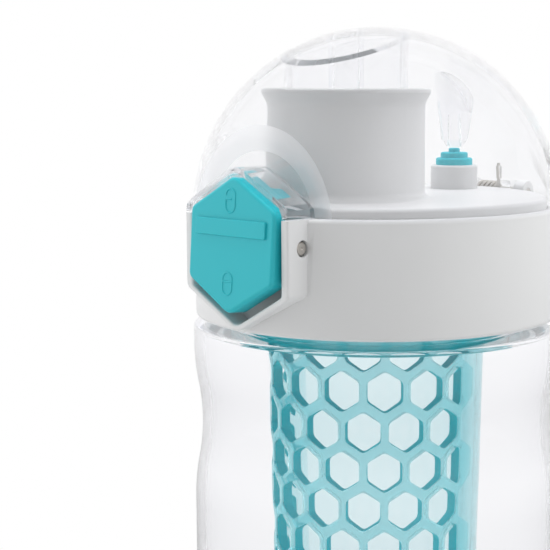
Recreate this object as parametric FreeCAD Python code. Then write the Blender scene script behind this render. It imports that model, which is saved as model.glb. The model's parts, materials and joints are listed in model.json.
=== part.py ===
import FreeCAD, Part
import math
import os

os.makedirs("parts", exist_ok=True)

Vector = FreeCAD.Vector

# Fruit infuser bottle, in millimetres. The bottle stands on z = 0 with its axis on Z.
# The latch faces -Y and the lid hinge is at +Y.

# Shared clearances, and how far cutting shapes run past what they cut
OVERRUN = 5.0
SAME_POINT = 1e-6
PIN_CLEARANCE = 0.05
LID_GAP = 0.25
SEAT_CLEARANCE = 0.1

# Bottle body
BODY_RADIUS = 37.0
BODY_WALL = 2.0
SHOULDER_HEIGHT = 180.0
SHOULDER_ROUND = 1.8
BASE_ROUND = 6.0
BASE_RISE = 3.0
BASE_SLOPE_RUN = 6.0
STANDING_RING = 4.0
WAIST_TOP_GAP = 4.0
WAIST_HALF_HEIGHT = 16.0
WAIST_DEPTH = 1.55
SHOULDER_WIDTH = 7.0
NECK_WALL = 2.4
RIM_DROP = 5.5
NECK_ROOT_ROUND = 1.2
RIM_ROUND = 0.5

# Infuser basket
HANGER_STEP = 5.2
BASKET_TAPER = 2.4
BASKET_WALL = 2.3
BASKET_BACK_WALL = 1.3
BACK_RELIEF_MARGIN = 1.5
BASKET_LENGTH = 116.0
BASKET_FLOOR = 2.0
BASKET_ROUND = 1.6
HANGER_CLEARANCE = 0.4
HANGER_WALL = 1.4
HANGER_RISE = 0.5
HANGER_WEB = 1.8
HANGER_ROUND = 0.5
FLANGE_THICKNESS = 1.6
CELL_COLUMNS = 16
CELL_ROW_PITCH = 7.9
CELL_UPRIGHT_RIB = 1.5
CELL_SLANT_RIB = 2.0
CELL_FIRST_DROP = 3.2
CELL_TOP_BAND = 0.8
CELL_FOOT_BAND = 6.0
CELL_AZIMUTH = 2.0
STRIP_WIDTH = 4.2
STRIP_AZIMUTH = 98.0
DRAIN_COUNT = 6
DRAIN_RADIUS = 2.2
DRAIN_RING_RADIUS = 8.0

# Neck gasket
GASKET_THICKNESS = 1.6
GASKET_ROUND = 0.4

# Cap shell: collar, latch housing and hinge ears
COLLAR_SETBACK = 0.5
COLLAR_WALL = 2.3
COLLAR_HEIGHT = 22.0
COLLAR_GAP = 1.7
COLLAR_ROUND = 0.8
HOUSING_PROUD = 2.2
HOUSING_LIFT = 0.2
HOUSING_WALL = 1.9
HOUSING_FLOOR = 1.3
HOUSING_ROUND = 1.5
HOUSING_PEAK_ROUND = 3.6
CAVITY_ROUND = 0.9
CAVITY_PEAK_ROUND = 2.6

# Cap deck: deck plate, thread skirt, spout and vent boss
DECK_RISE = 1.8
DECK_PLATE = 2.0
DECK_EDGE_GAP = 0.2
DECK_ROUND = 0.7
LAND_WIDTH = 4.2
THREAD_ROOM = 1.4
SKIRT_WALL = 1.2
SKIRT_LIFT = 1.3
LOCK_RIB_COUNT = 8
LOCK_RIB_WIDTH = 2.0
NOTCH_CLEARANCE = 0.6
NOTCH_STEP = 0.3
SPOUT_SHIFT_share = 0.235
SPOUT_RADIUS_share = 0.416
SPOUT_WALL = 1.6
SPOUT_ROOT_ROUND = 1.5
LIP_FLARE = 1.05
LIP_EDGE = 0.8
LIP_DROP = 2.8
LIP_ROUND = 0.35
LIP_CLEARANCE = 0.12
VENT_INSET = 0.2
VENT_BOSS_RADIUS = 5.0
VENT_BOSS_RISE = 6.8
VENT_BORE_RADIUS = 1.5

# Vent seal
SEAL_RADIUS = 3.9
SEAL_BASE = 1.5
SEAL_STEP_RADIUS = 2.9
SEAL_STEP = 1.2
SEAL_NUB_RADIUS = 1.2
SEAL_NUB = 0.9
SEAL_BARB_RADIUS = 2.0
SEAL_BARB = 1.2
SEAL_ROUND = 0.4

# Lid: dome, scoop, plug tube and posts
DOME_OVERHANG = 0.5
DOME_DROP = 1.7
DOME_WALL = 1.7
SCOOP_RADIUS_share = 0.4784
SCOOP_CLEARANCE = 0.17
HOOD_ROOF = 1.2
HOOD_ROOT_share = 0.25
PLUG_GAP = 1.7
PLUG_WALL = 1.5
PLUG_DEPTH = 1.5
POST_RADIUS = 3.45
POST_BORE_RADIUS = 2.3
VENT_POST_TOP_RADIUS = 4.4
VENT_POST_RADIUS = 2.9
VENT_POST_TIP_RADIUS = 1.6
VENT_POST_TIP = 1.4
VENT_POST_BORE_RADIUS = 1.2
VENT_POST_CORE = 7.0
VENT_POST_GAP = 0.3
KEEPER_HALF_WIDTH = 4.0
KEEPER_REACH = 2.2
KEEPER_LIFT = 1.0
KEEPER_HEIGHT = 1.6

# Spout stopper
STOPPER_LENGTH = 5.5
STOPPER_CLEARANCE = 0.3
STOPPER_ROUND = 1.0
STOPPER_STEM = 1.6

# Lid hinge, its pin and its torsion spring
HINGE_STANDOFF = 3.0
HINGE_RISE = 0.5
HINGE_PIN_RADIUS = 1.2
BARREL_RADIUS = 2.8
KNUCKLE_INNER = 4.4
KNUCKLE_OUTER = 7.6
KNUCKLE_GAP = 0.2
EAR_WIDTH = 3.0
EAR_DEPTH = 9.5
SPRING_WIRE_RADIUS = 0.4
SPRING_MEAN_RADIUS = 1.95
SPRING_PITCH = 1.25
SPRING_TURNS = 5
SPRING_LEG = 6.5
SPRING_SEAT_TOP = 3.6
SPRING_SEAT_HEIGHT = 4.5

# Latch: button, rocker, pin and spring
BUTTON_HALF_WIDTH = 11.4
BUTTON_HALF_HEIGHT = 12.9
BUTTON_SIDE_HALF = 6.6
BUTTON_PROUD = 1.2
BUTTON_THICKNESS = 3.0
BUTTON_CORNER_ROUND = 1.6
BUTTON_PEAK_ROUND = 2.8
BUTTON_LEAN = 4.0
BUTTON_EDGE_ROUND = 0.7
BUTTON_SIDE_GAP = 0.6
BUTTON_TOP_GAP = 0.7
BUTTON_BOTTOM_GAP = 2.4
BUTTON_TRAVEL = 1.6
BAR_INSET = 2.0
BAR_HALF_HEIGHT = 1.6
BAR_RISE = 3.2
BAR_PROUD = 0.4
BAR_ROUND = 0.4
LATCH_PIN_RADIUS = 1.25
LATCH_PIN_SETBACK = 3.8
LATCH_PIN_INSET = 0.3
ROCKER_CLEARANCE = 0.2
ROCKER_PLATE = 1.4
ROCKER_INSET = 1.9
ROCKER_HALF_HEIGHT = 6.5
ROCKER_TAIL = 9.0
ROCKER_TAIL_HALF_WIDTH = 4.0
ROCKER_BARREL_RADIUS = 1.75
ROCKER_BARREL_INNER = 7.0
ROCKER_BARREL_GAP = 0.3
RAIL_OFFSET = 6.2
RAIL_WIDTH = 1.4
RAIL_PROUD = 1.5
RAIL_HALF_LENGTH = 5.0
HOOK_HALF_WIDTH = 3.6
HOOK_HEIGHT = 1.6
HOOK_LIFT = 0.4
HOOK_SHORT = 0.3
BOW_THICKNESS = 0.35
BOW_HALF_WIDTH = 2.5
BOW_HALF_LENGTH = 3.6
BOW_DROP = 6.0

# Heights and radii that follow from the sizes above
collar_z = SHOULDER_HEIGHT + COLLAR_GAP
seam_z = collar_z + COLLAR_HEIGHT
lid_z = seam_z + LID_GAP
rim_z = seam_z - RIM_DROP
neck_radius = BODY_RADIUS - SHOULDER_WIDTH
neck_bore = neck_radius - NECK_WALL
web_z = SHOULDER_HEIGHT + HANGER_RISE
basket_floor_z = web_z - BASKET_LENGTH
hanger_radius = neck_bore - HANGER_CLEARANCE
basket_top_radius = hanger_radius - HANGER_STEP
basket_bottom_radius = basket_top_radius - BASKET_TAPER
flange_top = rim_z + FLANGE_THICKNESS
land_z = flange_top + GASKET_THICKNESS
collar_radius = BODY_RADIUS - COLLAR_SETBACK
collar_inner = collar_radius - COLLAR_WALL
deck_radius = collar_inner - DECK_EDGE_GAP
deck_top = seam_z + DECK_RISE
deck_under = deck_top - DECK_PLATE
skirt_bore = neck_radius + THREAD_ROOM
skirt_radius = skirt_bore + SKIRT_WALL
land_inner = skirt_bore - LAND_WIDTH
hinge_reach = collar_radius + HINGE_STANDOFF
hinge_z = seam_z + HINGE_RISE
ear_inner = KNUCKLE_OUTER + KNUCKLE_GAP
ear_outer = ear_inner + EAR_WIDTH
spring_front = hinge_reach - SPRING_MEAN_RADIUS - SPRING_WIRE_RADIUS - SEAT_CLEARANCE

# The spout rises as far as the dome lets its lip, and the scoop stays clear of the lip's swing
dome_radius = collar_radius + DOME_OVERHANG
dome_z = seam_z - DOME_DROP
dome_inner = dome_radius - DOME_WALL
spout_shift = dome_radius * SPOUT_SHIFT_share
spout_radius = dome_radius * SPOUT_RADIUS_share
spout_bore = spout_radius - SPOUT_WALL
lip_radius = spout_radius + LIP_FLARE
lip_front = spout_shift + lip_radius
lip_z = dome_z + math.sqrt((dome_inner - LIP_CLEARANCE)**2 - lip_front**2)
lip_swing = math.hypot(hinge_reach + lip_front, lip_z - hinge_z)
scoop_radius = dome_radius * SCOOP_RADIUS_share
scoop_plane = math.sqrt(dome_radius**2 - scoop_radius**2)
scoop_floor = lip_swing - hinge_reach + SCOOP_CLEARANCE + DOME_WALL
scoop_depth = scoop_plane - scoop_floor
scoop_curve = (scoop_radius**2 + scoop_depth**2) / (2 * scoop_depth)
scoop_centre = Vector(0, -scoop_floor - scoop_curve, dome_z)
plug_radius = spout_bore - PLUG_GAP
vent_shift = land_inner - SEAL_BARB_RADIUS - VENT_INSET
boss_top = seam_z + VENT_BOSS_RISE
seal_step_z = boss_top + SEAL_BASE
seal_nub_z = seal_step_z + SEAL_STEP
seal_top = seal_nub_z + SEAL_NUB

# The latch stands on the foot of the collar
hex_slope = (BUTTON_HALF_HEIGHT - BUTTON_SIDE_HALF) / BUTTON_HALF_WIDTH
cavity_half_width = BUTTON_HALF_WIDTH + BUTTON_SIDE_GAP
cavity_top = BUTTON_HALF_HEIGHT + BUTTON_TOP_GAP
cavity_bottom = BUTTON_HALF_HEIGHT + BUTTON_BOTTOM_GAP
housing_front = collar_radius + HOUSING_PROUD
housing_half_width = cavity_half_width + HOUSING_WALL
housing_top = cavity_top + HOOD_ROOF
housing_bottom = cavity_bottom + HOUSING_FLOOR
latch_z = collar_z + HOUSING_LIFT + housing_bottom
latch_pin_y = -housing_front + LATCH_PIN_SETBACK
button_face = -housing_front - BUTTON_PROUD
button_back = button_face + BUTTON_THICKNESS
bar_half_length = BUTTON_HALF_WIDTH - BAR_INSET
rocker_half_width = BUTTON_HALF_WIDTH - ROCKER_INSET
rocker_front = button_back + ROCKER_CLEARANCE
rocker_back = rocker_front + ROCKER_PLATE
keeper_front = -scoop_floor - KEEPER_REACH
keeper_z = seam_z + KEEPER_LIFT
hook_z = keeper_z + KEEPER_HEIGHT + HOOK_LIFT

ORIGIN = Vector(0, 0, 0)
UP = Vector(0, 0, 1)
ACROSS = Vector(1, 0, 0)


def along(start, end, distance):
    """Point at a distance from one flat point towards another."""
    length = math.hypot(end[0] - start[0], end[1] - start[1])
    share = distance / length
    return (start[0] + (end[0] - start[0]) * share, start[1] + (end[1] - start[1]) * share)


def rounded_corner(before, corner, after, radius):
    """Start, middle and end of the arc that rounds one corner of a flat outline."""
    back = math.atan2(before[1] - corner[1], before[0] - corner[0])
    ahead = math.atan2(after[1] - corner[1], after[0] - corner[0])
    half = abs((ahead - back + math.pi) % (2 * math.pi) - math.pi) / 2
    reach = radius / math.tan(half)
    start = along(corner, before, reach)
    end = along(corner, after, reach)
    middle = ((start[0] + end[0]) / 2, (start[1] + end[1]) / 2)
    through = along(corner, middle, radius / math.sin(half) - radius)
    return start, through, end


def outline_face(corners, place):
    """Flat face whose corners are (across, up, rounding), set into space by place."""
    spots = [(corner[0], corner[1]) for corner in corners]
    turns = []
    for index, (across, up, radius) in enumerate(corners):
        after = spots[(index + 1) % len(spots)]
        turn = ((across, up),) * 3
        if radius > 0:
            turn = rounded_corner(spots[index - 1], (across, up), after, radius)
        turns.append(turn)
    edges = []
    for index, (start, through, end) in enumerate(turns):
        if start != end:
            edges.append(Part.Arc(place(start), place(through), place(end)).toShape())
        following = turns[(index + 1) % len(turns)][0]
        if math.hypot(following[0] - end[0], following[1] - end[1]) > SAME_POINT:
            edges.append(Part.LineSegment(place(end), place(following)).toShape())
    return Part.Face(Part.Wire(edges))


def turned(corners, shift=0.0):
    """Solid of revolution about the upright axis that stands at y = shift."""
    face = outline_face(corners, lambda spot: Vector(spot[0], shift, spot[1]))
    return face.revolve(Vector(0, shift, 0), UP, 360)


def prism_y(corners, start, end):
    """Outline in X and Z, run along Y from start to end."""
    face = outline_face(corners, lambda spot: Vector(spot[0], start, spot[1]))
    return face.extrude(Vector(0, end - start, 0))


def prism_x(corners, start, end):
    """Outline in Y and Z, run along X from start to end."""
    face = outline_face(corners, lambda spot: Vector(start, spot[0], spot[1]))
    return face.extrude(Vector(end - start, 0, 0))


def block(low, high):
    """Box between two opposite corners."""
    size = [high[axis] - low[axis] for axis in range(3)]
    return Part.makeBox(*size, Vector(*low))


def rod(radius, start, end, y, z):
    """Round bar along X."""
    return Part.makeCylinder(radius, end - start, Vector(start, y, z), ACROSS)


def post(radius, low, high, y):
    """Round bar along Z at the given y."""
    return Part.makeCylinder(radius, high - low, Vector(0, y, low), UP)


def above(height):
    """Everything over a height, as a wide block."""
    reach = BODY_RADIUS + hinge_reach
    return block((-reach, -reach, height), (reach, reach, height + reach))


def hexagon(half_width, top, bottom, rounding, peak_rounding):
    """Corners of the upright hexagon round the latch centre."""
    shoulder = half_width * hex_slope
    return [
        (0, latch_z + top, peak_rounding),
        (half_width, latch_z + top - shoulder, rounding),
        (half_width, latch_z - bottom + shoulder, rounding),
        (0, latch_z - bottom, peak_rounding),
        (-half_width, latch_z - bottom + shoulder, rounding),
        (-half_width, latch_z + top - shoulder, rounding),
    ]


def waist(radius):
    """Corners of the drawn-in waist, from the lower end up, rounded into one smooth dip."""
    turn = 2 * math.atan(WAIST_DEPTH / WAIST_HALF_HEIGHT)
    bend = (WAIST_HALF_HEIGHT**2 + WAIST_DEPTH**2) / (4 * WAIST_DEPTH)
    run = WAIST_HALF_HEIGHT - bend * math.tan(turn / 2)
    middle = SHOULDER_HEIGHT - WAIST_TOP_GAP - WAIST_HALF_HEIGHT
    return [
        (radius, middle - run, bend),
        (radius - run * math.tan(turn), middle, bend),
        (radius, middle + run, bend),
    ]


def bottle_body():
    """Clear bottle: dished base, waist, flat shoulder and neck, as one turned wall."""
    inside = BODY_RADIUS - BODY_WALL
    ring = BODY_RADIUS - BASE_ROUND - STANDING_RING
    dish = ring - BASE_SLOPE_RUN
    outer = [
        (0, BASE_RISE, 0),
        (dish, BASE_RISE, BODY_WALL),
        (ring, 0, BODY_WALL),
        (BODY_RADIUS, 0, BASE_ROUND),
        *waist(BODY_RADIUS),
        (BODY_RADIUS, SHOULDER_HEIGHT, SHOULDER_ROUND),
        (neck_radius, SHOULDER_HEIGHT, NECK_ROOT_ROUND),
        (neck_radius, rim_z, RIM_ROUND),
    ]
    inner = [
        (neck_bore, rim_z, RIM_ROUND),
        (neck_bore, SHOULDER_HEIGHT - BODY_WALL, NECK_ROOT_ROUND),
        (inside, SHOULDER_HEIGHT - BODY_WALL, SHOULDER_ROUND),
        *reversed(waist(inside)),
        (inside, BODY_WALL, BASE_ROUND - BODY_WALL),
        (ring, BODY_WALL, BODY_WALL),
        (dish, BASE_RISE + BODY_WALL, BODY_WALL),
        (0, BASE_RISE + BODY_WALL, 0),
    ]
    return turned(outer + inner)


def basket_radius(height):
    """Outer radius of the tapered basket at a height."""
    share = (height - basket_floor_z) / BASKET_LENGTH
    return basket_bottom_radius + (basket_top_radius - basket_bottom_radius) * share


def basket_blank():
    """Basket before the honeycomb is cut: tapered cup, hanger web, hanger and rest flange."""
    hanger_inner = hanger_radius - HANGER_WALL
    corners = [
        (0, basket_floor_z, 0),
        (basket_bottom_radius, basket_floor_z, BASKET_ROUND),
        (basket_top_radius, web_z, HANGER_ROUND),
        (hanger_radius, web_z, HANGER_ROUND),
        (hanger_radius, rim_z, 0),
        (neck_radius, rim_z, 0),
        (neck_radius, flange_top, HANGER_ROUND),
        (hanger_inner, flange_top, HANGER_ROUND),
        (hanger_inner, web_z + HANGER_WEB, HANGER_ROUND),
        (basket_top_radius - BASKET_WALL, web_z + HANGER_WEB, HANGER_ROUND),
        (basket_bottom_radius - BASKET_WALL, basket_floor_z + BASKET_FLOOR, BASKET_ROUND),
        (0, basket_floor_z + BASKET_FLOOR, 0),
    ]
    return turned(corners)


def cell_cutter(height):
    """Six-sided cutter for one honeycomb cell, pointing to the front at a height."""
    radius = basket_radius(height)
    pitch = 2 * math.pi * radius / CELL_COLUMNS
    slope = 2 * CELL_ROW_PITCH / (3 * pitch)
    half_width = (pitch - CELL_UPRIGHT_RIB) / 2
    half_height = 2 * CELL_ROW_PITCH / 3 - CELL_SLANT_RIB / 2 * math.hypot(1, slope)
    side = half_height - half_width * slope
    corners = [
        (0, height + half_height, 0),
        (half_width, height + side, 0),
        (half_width, height - side, 0),
        (0, height - half_height, 0),
        (-half_width, height - side, 0),
        (-half_width, height + side, 0),
    ]
    return prism_y(corners, -radius - HANGER_CLEARANCE, -radius + BASKET_WALL + BASKET_WALL)


def parting_slab():
    """Upright slab through the axis that keeps both smooth parting strips whole."""
    half = STRIP_WIDTH / 2
    reach = basket_top_radius + OVERRUN
    slab = block((-half, -reach, basket_floor_z), (half, reach, rim_z))
    slab.rotate(ORIGIN, UP, STRIP_AZIMUTH)
    return slab


def back_relief():
    """Thins the plain back half of the basket wall from the inside, between the parting strips."""
    low = basket_floor_z + BASKET_FLOOR + BACK_RELIEF_MARGIN
    high = web_z - BACK_RELIEF_MARGIN
    cone = turned([
        (0, low, 0),
        (basket_radius(low) - BASKET_BACK_WALL, low, 0),
        (basket_radius(high) - BASKET_BACK_WALL, high, 0),
        (0, high, 0),
    ])
    reach = basket_top_radius + OVERRUN
    half = block((STRIP_WIDTH / 2, -reach, low), (reach, reach, high))
    half.rotate(ORIGIN, UP, STRIP_AZIMUTH)
    return cone.common(half)


def honeycomb():
    """Honeycomb cutters of the front half, row by row, kept off the parting strips and the top band."""
    step = 360 / CELL_COLUMNS
    slab = parting_slab()
    top = above(web_z - CELL_TOP_BAND)
    room = BASKET_LENGTH - CELL_FIRST_DROP - CELL_FOOT_BAND
    cells = []
    for row in range(int(room / CELL_ROW_PITCH) + 1):
        height = web_z - CELL_FIRST_DROP - row * CELL_ROW_PITCH
        cutter = cell_cutter(height).cut(top) if row == 0 else cell_cutter(height)
        stagger = step / 2 if row % 2 == 0 else 0
        for column in range(CELL_COLUMNS):
            azimuth = CELL_AZIMUTH + stagger + column * step
            if (azimuth - STRIP_AZIMUTH) % 360 < 180:
                continue
            cell = cutter.copy()
            cell.rotate(ORIGIN, UP, azimuth)
            off_strip = abs((azimuth - STRIP_AZIMUTH + 90) % 180 - 90)
            if off_strip < step:
                cell = cell.cut(slab)
            cells.extend(cell.Solids)
    return cells


def drains():
    """Drain holes through the basket floor: one in the middle and a ring round it."""
    low = basket_floor_z - OVERRUN
    high = basket_floor_z + BASKET_FLOOR + OVERRUN
    holes = [post(DRAIN_RADIUS, low, high, 0)]
    for index in range(DRAIN_COUNT):
        hole = post(DRAIN_RADIUS, low, high, DRAIN_RING_RADIUS)
        hole.rotate(ORIGIN, UP, index * 360 / DRAIN_COUNT)
        holes.append(hole)
    return holes


def infuser_basket():
    """Basket that hangs in the neck, with honeycomb round its front half and a plain back."""
    return basket_blank().cut(honeycomb() + drains() + [back_relief()])


def neck_gasket():
    """Silicone ring between the basket flange and the deck."""
    return turned([
        (land_inner, flange_top, GASKET_ROUND),
        (neck_radius, flange_top, GASKET_ROUND),
        (neck_radius, land_z, GASKET_ROUND),
        (land_inner, land_z, GASKET_ROUND),
    ])


def latch_housing():
    """Six-sided housing on the front of the collar, up to the seam."""
    corners = hexagon(
        housing_half_width, housing_top, housing_bottom, HOUSING_ROUND, HOUSING_PEAK_ROUND
    )
    back = -math.sqrt(collar_inner**2 - housing_half_width**2)
    return prism_y(corners, -housing_front, back).cut(above(seam_z))


def hinge_ear(start):
    """One hinge ear on the back of the collar, with its gusset drawn tangent to the barrel."""
    foot = seam_z - EAR_DEPTH
    rise = hinge_z - foot
    run = hinge_reach - collar_inner
    tangent = math.atan2(rise, run) - math.asin(BARREL_RADIUS / math.hypot(rise, run))
    length = math.sqrt(rise**2 + run**2 - BARREL_RADIUS**2)
    touch = (collar_inner + length * math.cos(tangent), foot + length * math.sin(tangent))
    corners = [
        (collar_inner, foot, 0),
        (*touch, 0),
        (hinge_reach, hinge_z, 0),
        (hinge_reach, seam_z, 0),
        (collar_inner, seam_z, 0),
    ]
    gusset = prism_x(corners, start, start + EAR_WIDTH)
    return rod(BARREL_RADIUS, start, start + EAR_WIDTH, hinge_reach, hinge_z).fuse(gusset)


def spring_pad():
    """Pad between the ears that the lower spring leg bears on."""
    top = seam_z - SPRING_SEAT_TOP
    low = (-ear_inner, collar_inner, top - SPRING_SEAT_HEIGHT)
    return block(low, (ear_inner, spring_front, top))


def cap_shell():
    """White collar with its latch housing, hinge ears and spring pad."""
    ring = turned([
        (collar_inner, collar_z, COLLAR_ROUND / 2),
        (collar_radius, collar_z, COLLAR_ROUND),
        (collar_radius, seam_z, COLLAR_ROUND),
        (collar_inner, seam_z, COLLAR_ROUND / 2),
    ])
    added = [latch_housing(), spring_pad(), hinge_ear(ear_inner), hinge_ear(-ear_outer)]
    solid = ring.fuse(added)
    bore = post(collar_inner, collar_z - OVERRUN, seam_z + OVERRUN, 0)
    cavity = prism_y(
        hexagon(cavity_half_width, cavity_top, cavity_bottom, CAVITY_ROUND, CAVITY_PEAK_ROUND),
        -housing_front - OVERRUN,
        -skirt_radius + OVERRUN,
    )
    wide = housing_half_width + OVERRUN
    latch_hole = rod(LATCH_PIN_RADIUS + PIN_CLEARANCE, -wide, wide, latch_pin_y, latch_z)
    hinge_hole = rod(HINGE_PIN_RADIUS + PIN_CLEARANCE, -ear_outer, ear_outer, hinge_reach, hinge_z)
    return solid.cut([bore, cavity, latch_hole, hinge_hole]).removeSplitter()


def spout():
    """Drinking spout with a flared lip and a rounded root on the deck."""
    foot = spout_radius + SPOUT_ROOT_ROUND + SPOUT_ROOT_ROUND
    return turned([
        (spout_bore, deck_under, 0),
        (foot, deck_under, 0),
        (foot, deck_top, 0),
        (spout_radius, deck_top, SPOUT_ROOT_ROUND),
        (spout_radius, lip_z - LIP_DROP, LIP_DROP),
        (lip_radius, lip_z - LIP_EDGE, LIP_ROUND),
        (lip_radius, lip_z, LIP_ROUND),
        (spout_bore, lip_z, LIP_ROUND),
    ], -spout_shift)


def lock_ribs():
    """Upright ribs on the thread skirt that hold the deck in the collar."""
    half = LOCK_RIB_WIDTH / 2
    low = (-half, -collar_inner + PIN_CLEARANCE, collar_z + SKIRT_LIFT)
    high = (half, -skirt_bore - SKIRT_WALL / 2, deck_under)
    ribs = []
    for index in range(LOCK_RIB_COUNT):
        rib = block(low, high)
        rib.rotate(ORIGIN, UP, (index + 1 / 2) * 360 / LOCK_RIB_COUNT)
        ribs.append(rib)
    return ribs


def cap_deck():
    """White insert: deck plate with a gasket land, thread skirt, spout and vent boss."""
    edge = RIM_ROUND / 2
    plate = turned([
        (0, deck_under, 0),
        (land_inner, deck_under, edge),
        (land_inner, land_z, edge),
        (skirt_bore, land_z, edge),
        (skirt_bore, collar_z + SKIRT_LIFT, edge),
        (skirt_radius, collar_z + SKIRT_LIFT, edge),
        (skirt_radius, deck_under, edge),
        (deck_radius, deck_under, 0),
        (deck_radius, deck_top, DECK_ROUND),
        (0, deck_top, 0),
    ])
    boss = turned([
        (0, deck_under, 0),
        (VENT_BOSS_RADIUS, deck_under, 0),
        (VENT_BOSS_RADIUS, boss_top, RIM_ROUND),
        (0, boss_top, 0),
    ], vent_shift)
    solid = plate.fuse([spout(), boss] + lock_ribs())
    notch = Part.makeSphere(scoop_curve + DOME_WALL + NOTCH_CLEARANCE, scoop_centre)
    notch = notch.common(above(seam_z - NOTCH_STEP))
    low = collar_z - OVERRUN
    bore = post(spout_bore, low, deck_top + OVERRUN, -spout_shift)
    vent = post(VENT_BORE_RADIUS, low, boss_top + OVERRUN, vent_shift)
    return solid.cut([notch, bore, vent]).removeSplitter()


def vent_seal():
    """Stepped silicone seal on the vent boss, with a barbed stem through the deck."""
    stem = VENT_BORE_RADIUS - SEAT_CLEARANCE
    barb_top = deck_under - SEAT_CLEARANCE
    return turned([
        (0, barb_top - SEAL_BARB, 0),
        (SEAL_BARB_RADIUS, barb_top - SEAL_BARB, SEAL_ROUND),
        (SEAL_BARB_RADIUS, barb_top, 0),
        (stem, barb_top, 0),
        (stem, boss_top, 0),
        (SEAL_RADIUS, boss_top, 0),
        (SEAL_RADIUS, seal_step_z, SEAL_ROUND),
        (SEAL_STEP_RADIUS, seal_step_z, 0),
        (SEAL_STEP_RADIUS, seal_nub_z, SEAL_ROUND),
        (SEAL_NUB_RADIUS, seal_nub_z, 0),
        (SEAL_NUB_RADIUS, seal_top, SEAL_ROUND),
        (0, seal_top, 0),
    ], vent_shift)


def dome_ball(radius):
    """Ball on the centre that the dome is struck from."""
    return Part.makeSphere(radius, Vector(0, 0, dome_z))


def dome_shell():
    """Clear dome with the dished scoop at its front, in one even wall."""
    outside = dome_ball(dome_radius).common(above(lid_z))
    outside = outside.cut(Part.makeSphere(scoop_curve, scoop_centre))
    inside = dome_ball(dome_inner).cut(Part.makeSphere(scoop_curve + DOME_WALL, scoop_centre))
    return outside.cut(inside)


def lid_posts():
    """Plug tube, stopper post and vent post, trimmed to the inside of the dome."""
    top = dome_z + dome_radius
    end = lip_z - PLUG_DEPTH
    tube = post(plug_radius, end, top, -spout_shift)
    tube = tube.cut(post(plug_radius - PLUG_WALL, end, top, -spout_shift))
    stem = post(POST_RADIUS, end, top, -spout_shift)
    stem = stem.cut(post(POST_BORE_RADIUS, end, top, -spout_shift))
    tip = seal_top + VENT_POST_GAP
    vent = turned([
        (VENT_POST_BORE_RADIUS, tip, 0),
        (VENT_POST_TIP_RADIUS, tip, 0),
        (VENT_POST_RADIUS, tip + VENT_POST_TIP, 0),
        (VENT_POST_TOP_RADIUS, top, 0),
        (0, top, 0),
        (0, tip + VENT_POST_CORE, 0),
        (VENT_POST_BORE_RADIUS, tip + VENT_POST_CORE, 0),
    ], vent_shift)
    trim = dome_ball(dome_radius - DOME_WALL / 2)
    return [piece.common(trim) for piece in (tube, stem, vent)]


def lid_hood():
    """Six-sided hood over the button, open to the front, rooted in the scoop wall."""
    root = -scoop_floor + DOME_WALL * HOOD_ROOT_share
    outer = prism_y(
        hexagon(housing_half_width, housing_top, housing_bottom, HOUSING_ROUND, HOUSING_PEAK_ROUND),
        -housing_front,
        root,
    )
    inner = prism_y(
        hexagon(cavity_half_width, cavity_top, cavity_bottom, CAVITY_ROUND, CAVITY_PEAK_ROUND),
        -housing_front - OVERRUN,
        root + OVERRUN,
    )
    return outer.cut(inner).common(above(lid_z))


def lid_keeper():
    """Ledge on the scoop wall that the rocker's hook catches."""
    root = -scoop_floor + DOME_WALL * HOOD_ROOT_share
    low = (-KEEPER_HALF_WIDTH, keeper_front, keeper_z)
    return block(low, (KEEPER_HALF_WIDTH, root, keeper_z + KEEPER_HEIGHT))


def lid_knuckles():
    """Hinge knuckles of the lid, their webs, and the stop for the upper spring leg."""
    pieces = []
    for start in (KNUCKLE_INNER, -KNUCKLE_OUTER):
        end = start + KNUCKLE_OUTER - KNUCKLE_INNER
        pieces.append(rod(BARREL_RADIUS, start, end, hinge_reach, hinge_z))
        low = (start, dome_inner, lid_z)
        pieces.append(block(low, (end, hinge_reach, hinge_z + BARREL_RADIUS)))
    stop_low = (-KNUCKLE_INNER, dome_inner, seam_z + SPRING_SEAT_TOP)
    stop_high = (KNUCKLE_INNER, spring_front, seam_z + SPRING_SEAT_TOP + BARREL_RADIUS)
    return pieces + [block(stop_low, stop_high)]


def lid_dome():
    """Clear flip lid, moulded in one piece."""
    solid = dome_shell().fuse(lid_posts() + [lid_hood(), lid_keeper()] + lid_knuckles())
    wide = KNUCKLE_OUTER + OVERRUN
    hole = rod(HINGE_PIN_RADIUS + PIN_CLEARANCE, -wide, wide, hinge_reach, hinge_z)
    return solid.cut(hole).removeSplitter()


def spout_stopper():
    """Silicone bung whose cone follows the swing of the lid out of the spout."""
    top = lip_z - PLUG_DEPTH
    swing = (lip_z - hinge_z) / (hinge_reach + spout_shift - spout_bore)
    top_radius = spout_bore - LIP_ROUND - swing * PLUG_DEPTH - STOPPER_CLEARANCE
    nose_radius = top_radius - swing * STOPPER_LENGTH
    stem = POST_BORE_RADIUS - PIN_CLEARANCE
    return turned([
        (0, top - STOPPER_LENGTH, 0),
        (nose_radius, top - STOPPER_LENGTH, STOPPER_ROUND),
        (top_radius, top, 0),
        (stem, top, 0),
        (stem, top + STOPPER_STEM, 0),
        (0, top + STOPPER_STEM, 0),
    ], -spout_shift)


def hinge_pin():
    """Steel pin of the lid hinge."""
    return rod(HINGE_PIN_RADIUS, -ear_outer, ear_outer, hinge_reach, hinge_z)


def coil_point(turn):
    """Place on the torsion spring's wire after a number of turns from its first end."""
    angle = 2 * math.pi * turn
    x = SPRING_PITCH * (turn - SPRING_TURNS / 2)
    y = hinge_reach - SPRING_MEAN_RADIUS * math.cos(angle)
    return Vector(x, y, hinge_z + SPRING_MEAN_RADIUS * math.sin(angle))


def coil_heading(turn):
    """Unit direction of the torsion spring's wire after a number of turns."""
    angle = 2 * math.pi * turn
    lead = SPRING_PITCH / (2 * math.pi)
    heading = Vector(lead, SPRING_MEAN_RADIUS * math.sin(angle), SPRING_MEAN_RADIUS * math.cos(angle))
    return heading.normalize()


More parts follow.
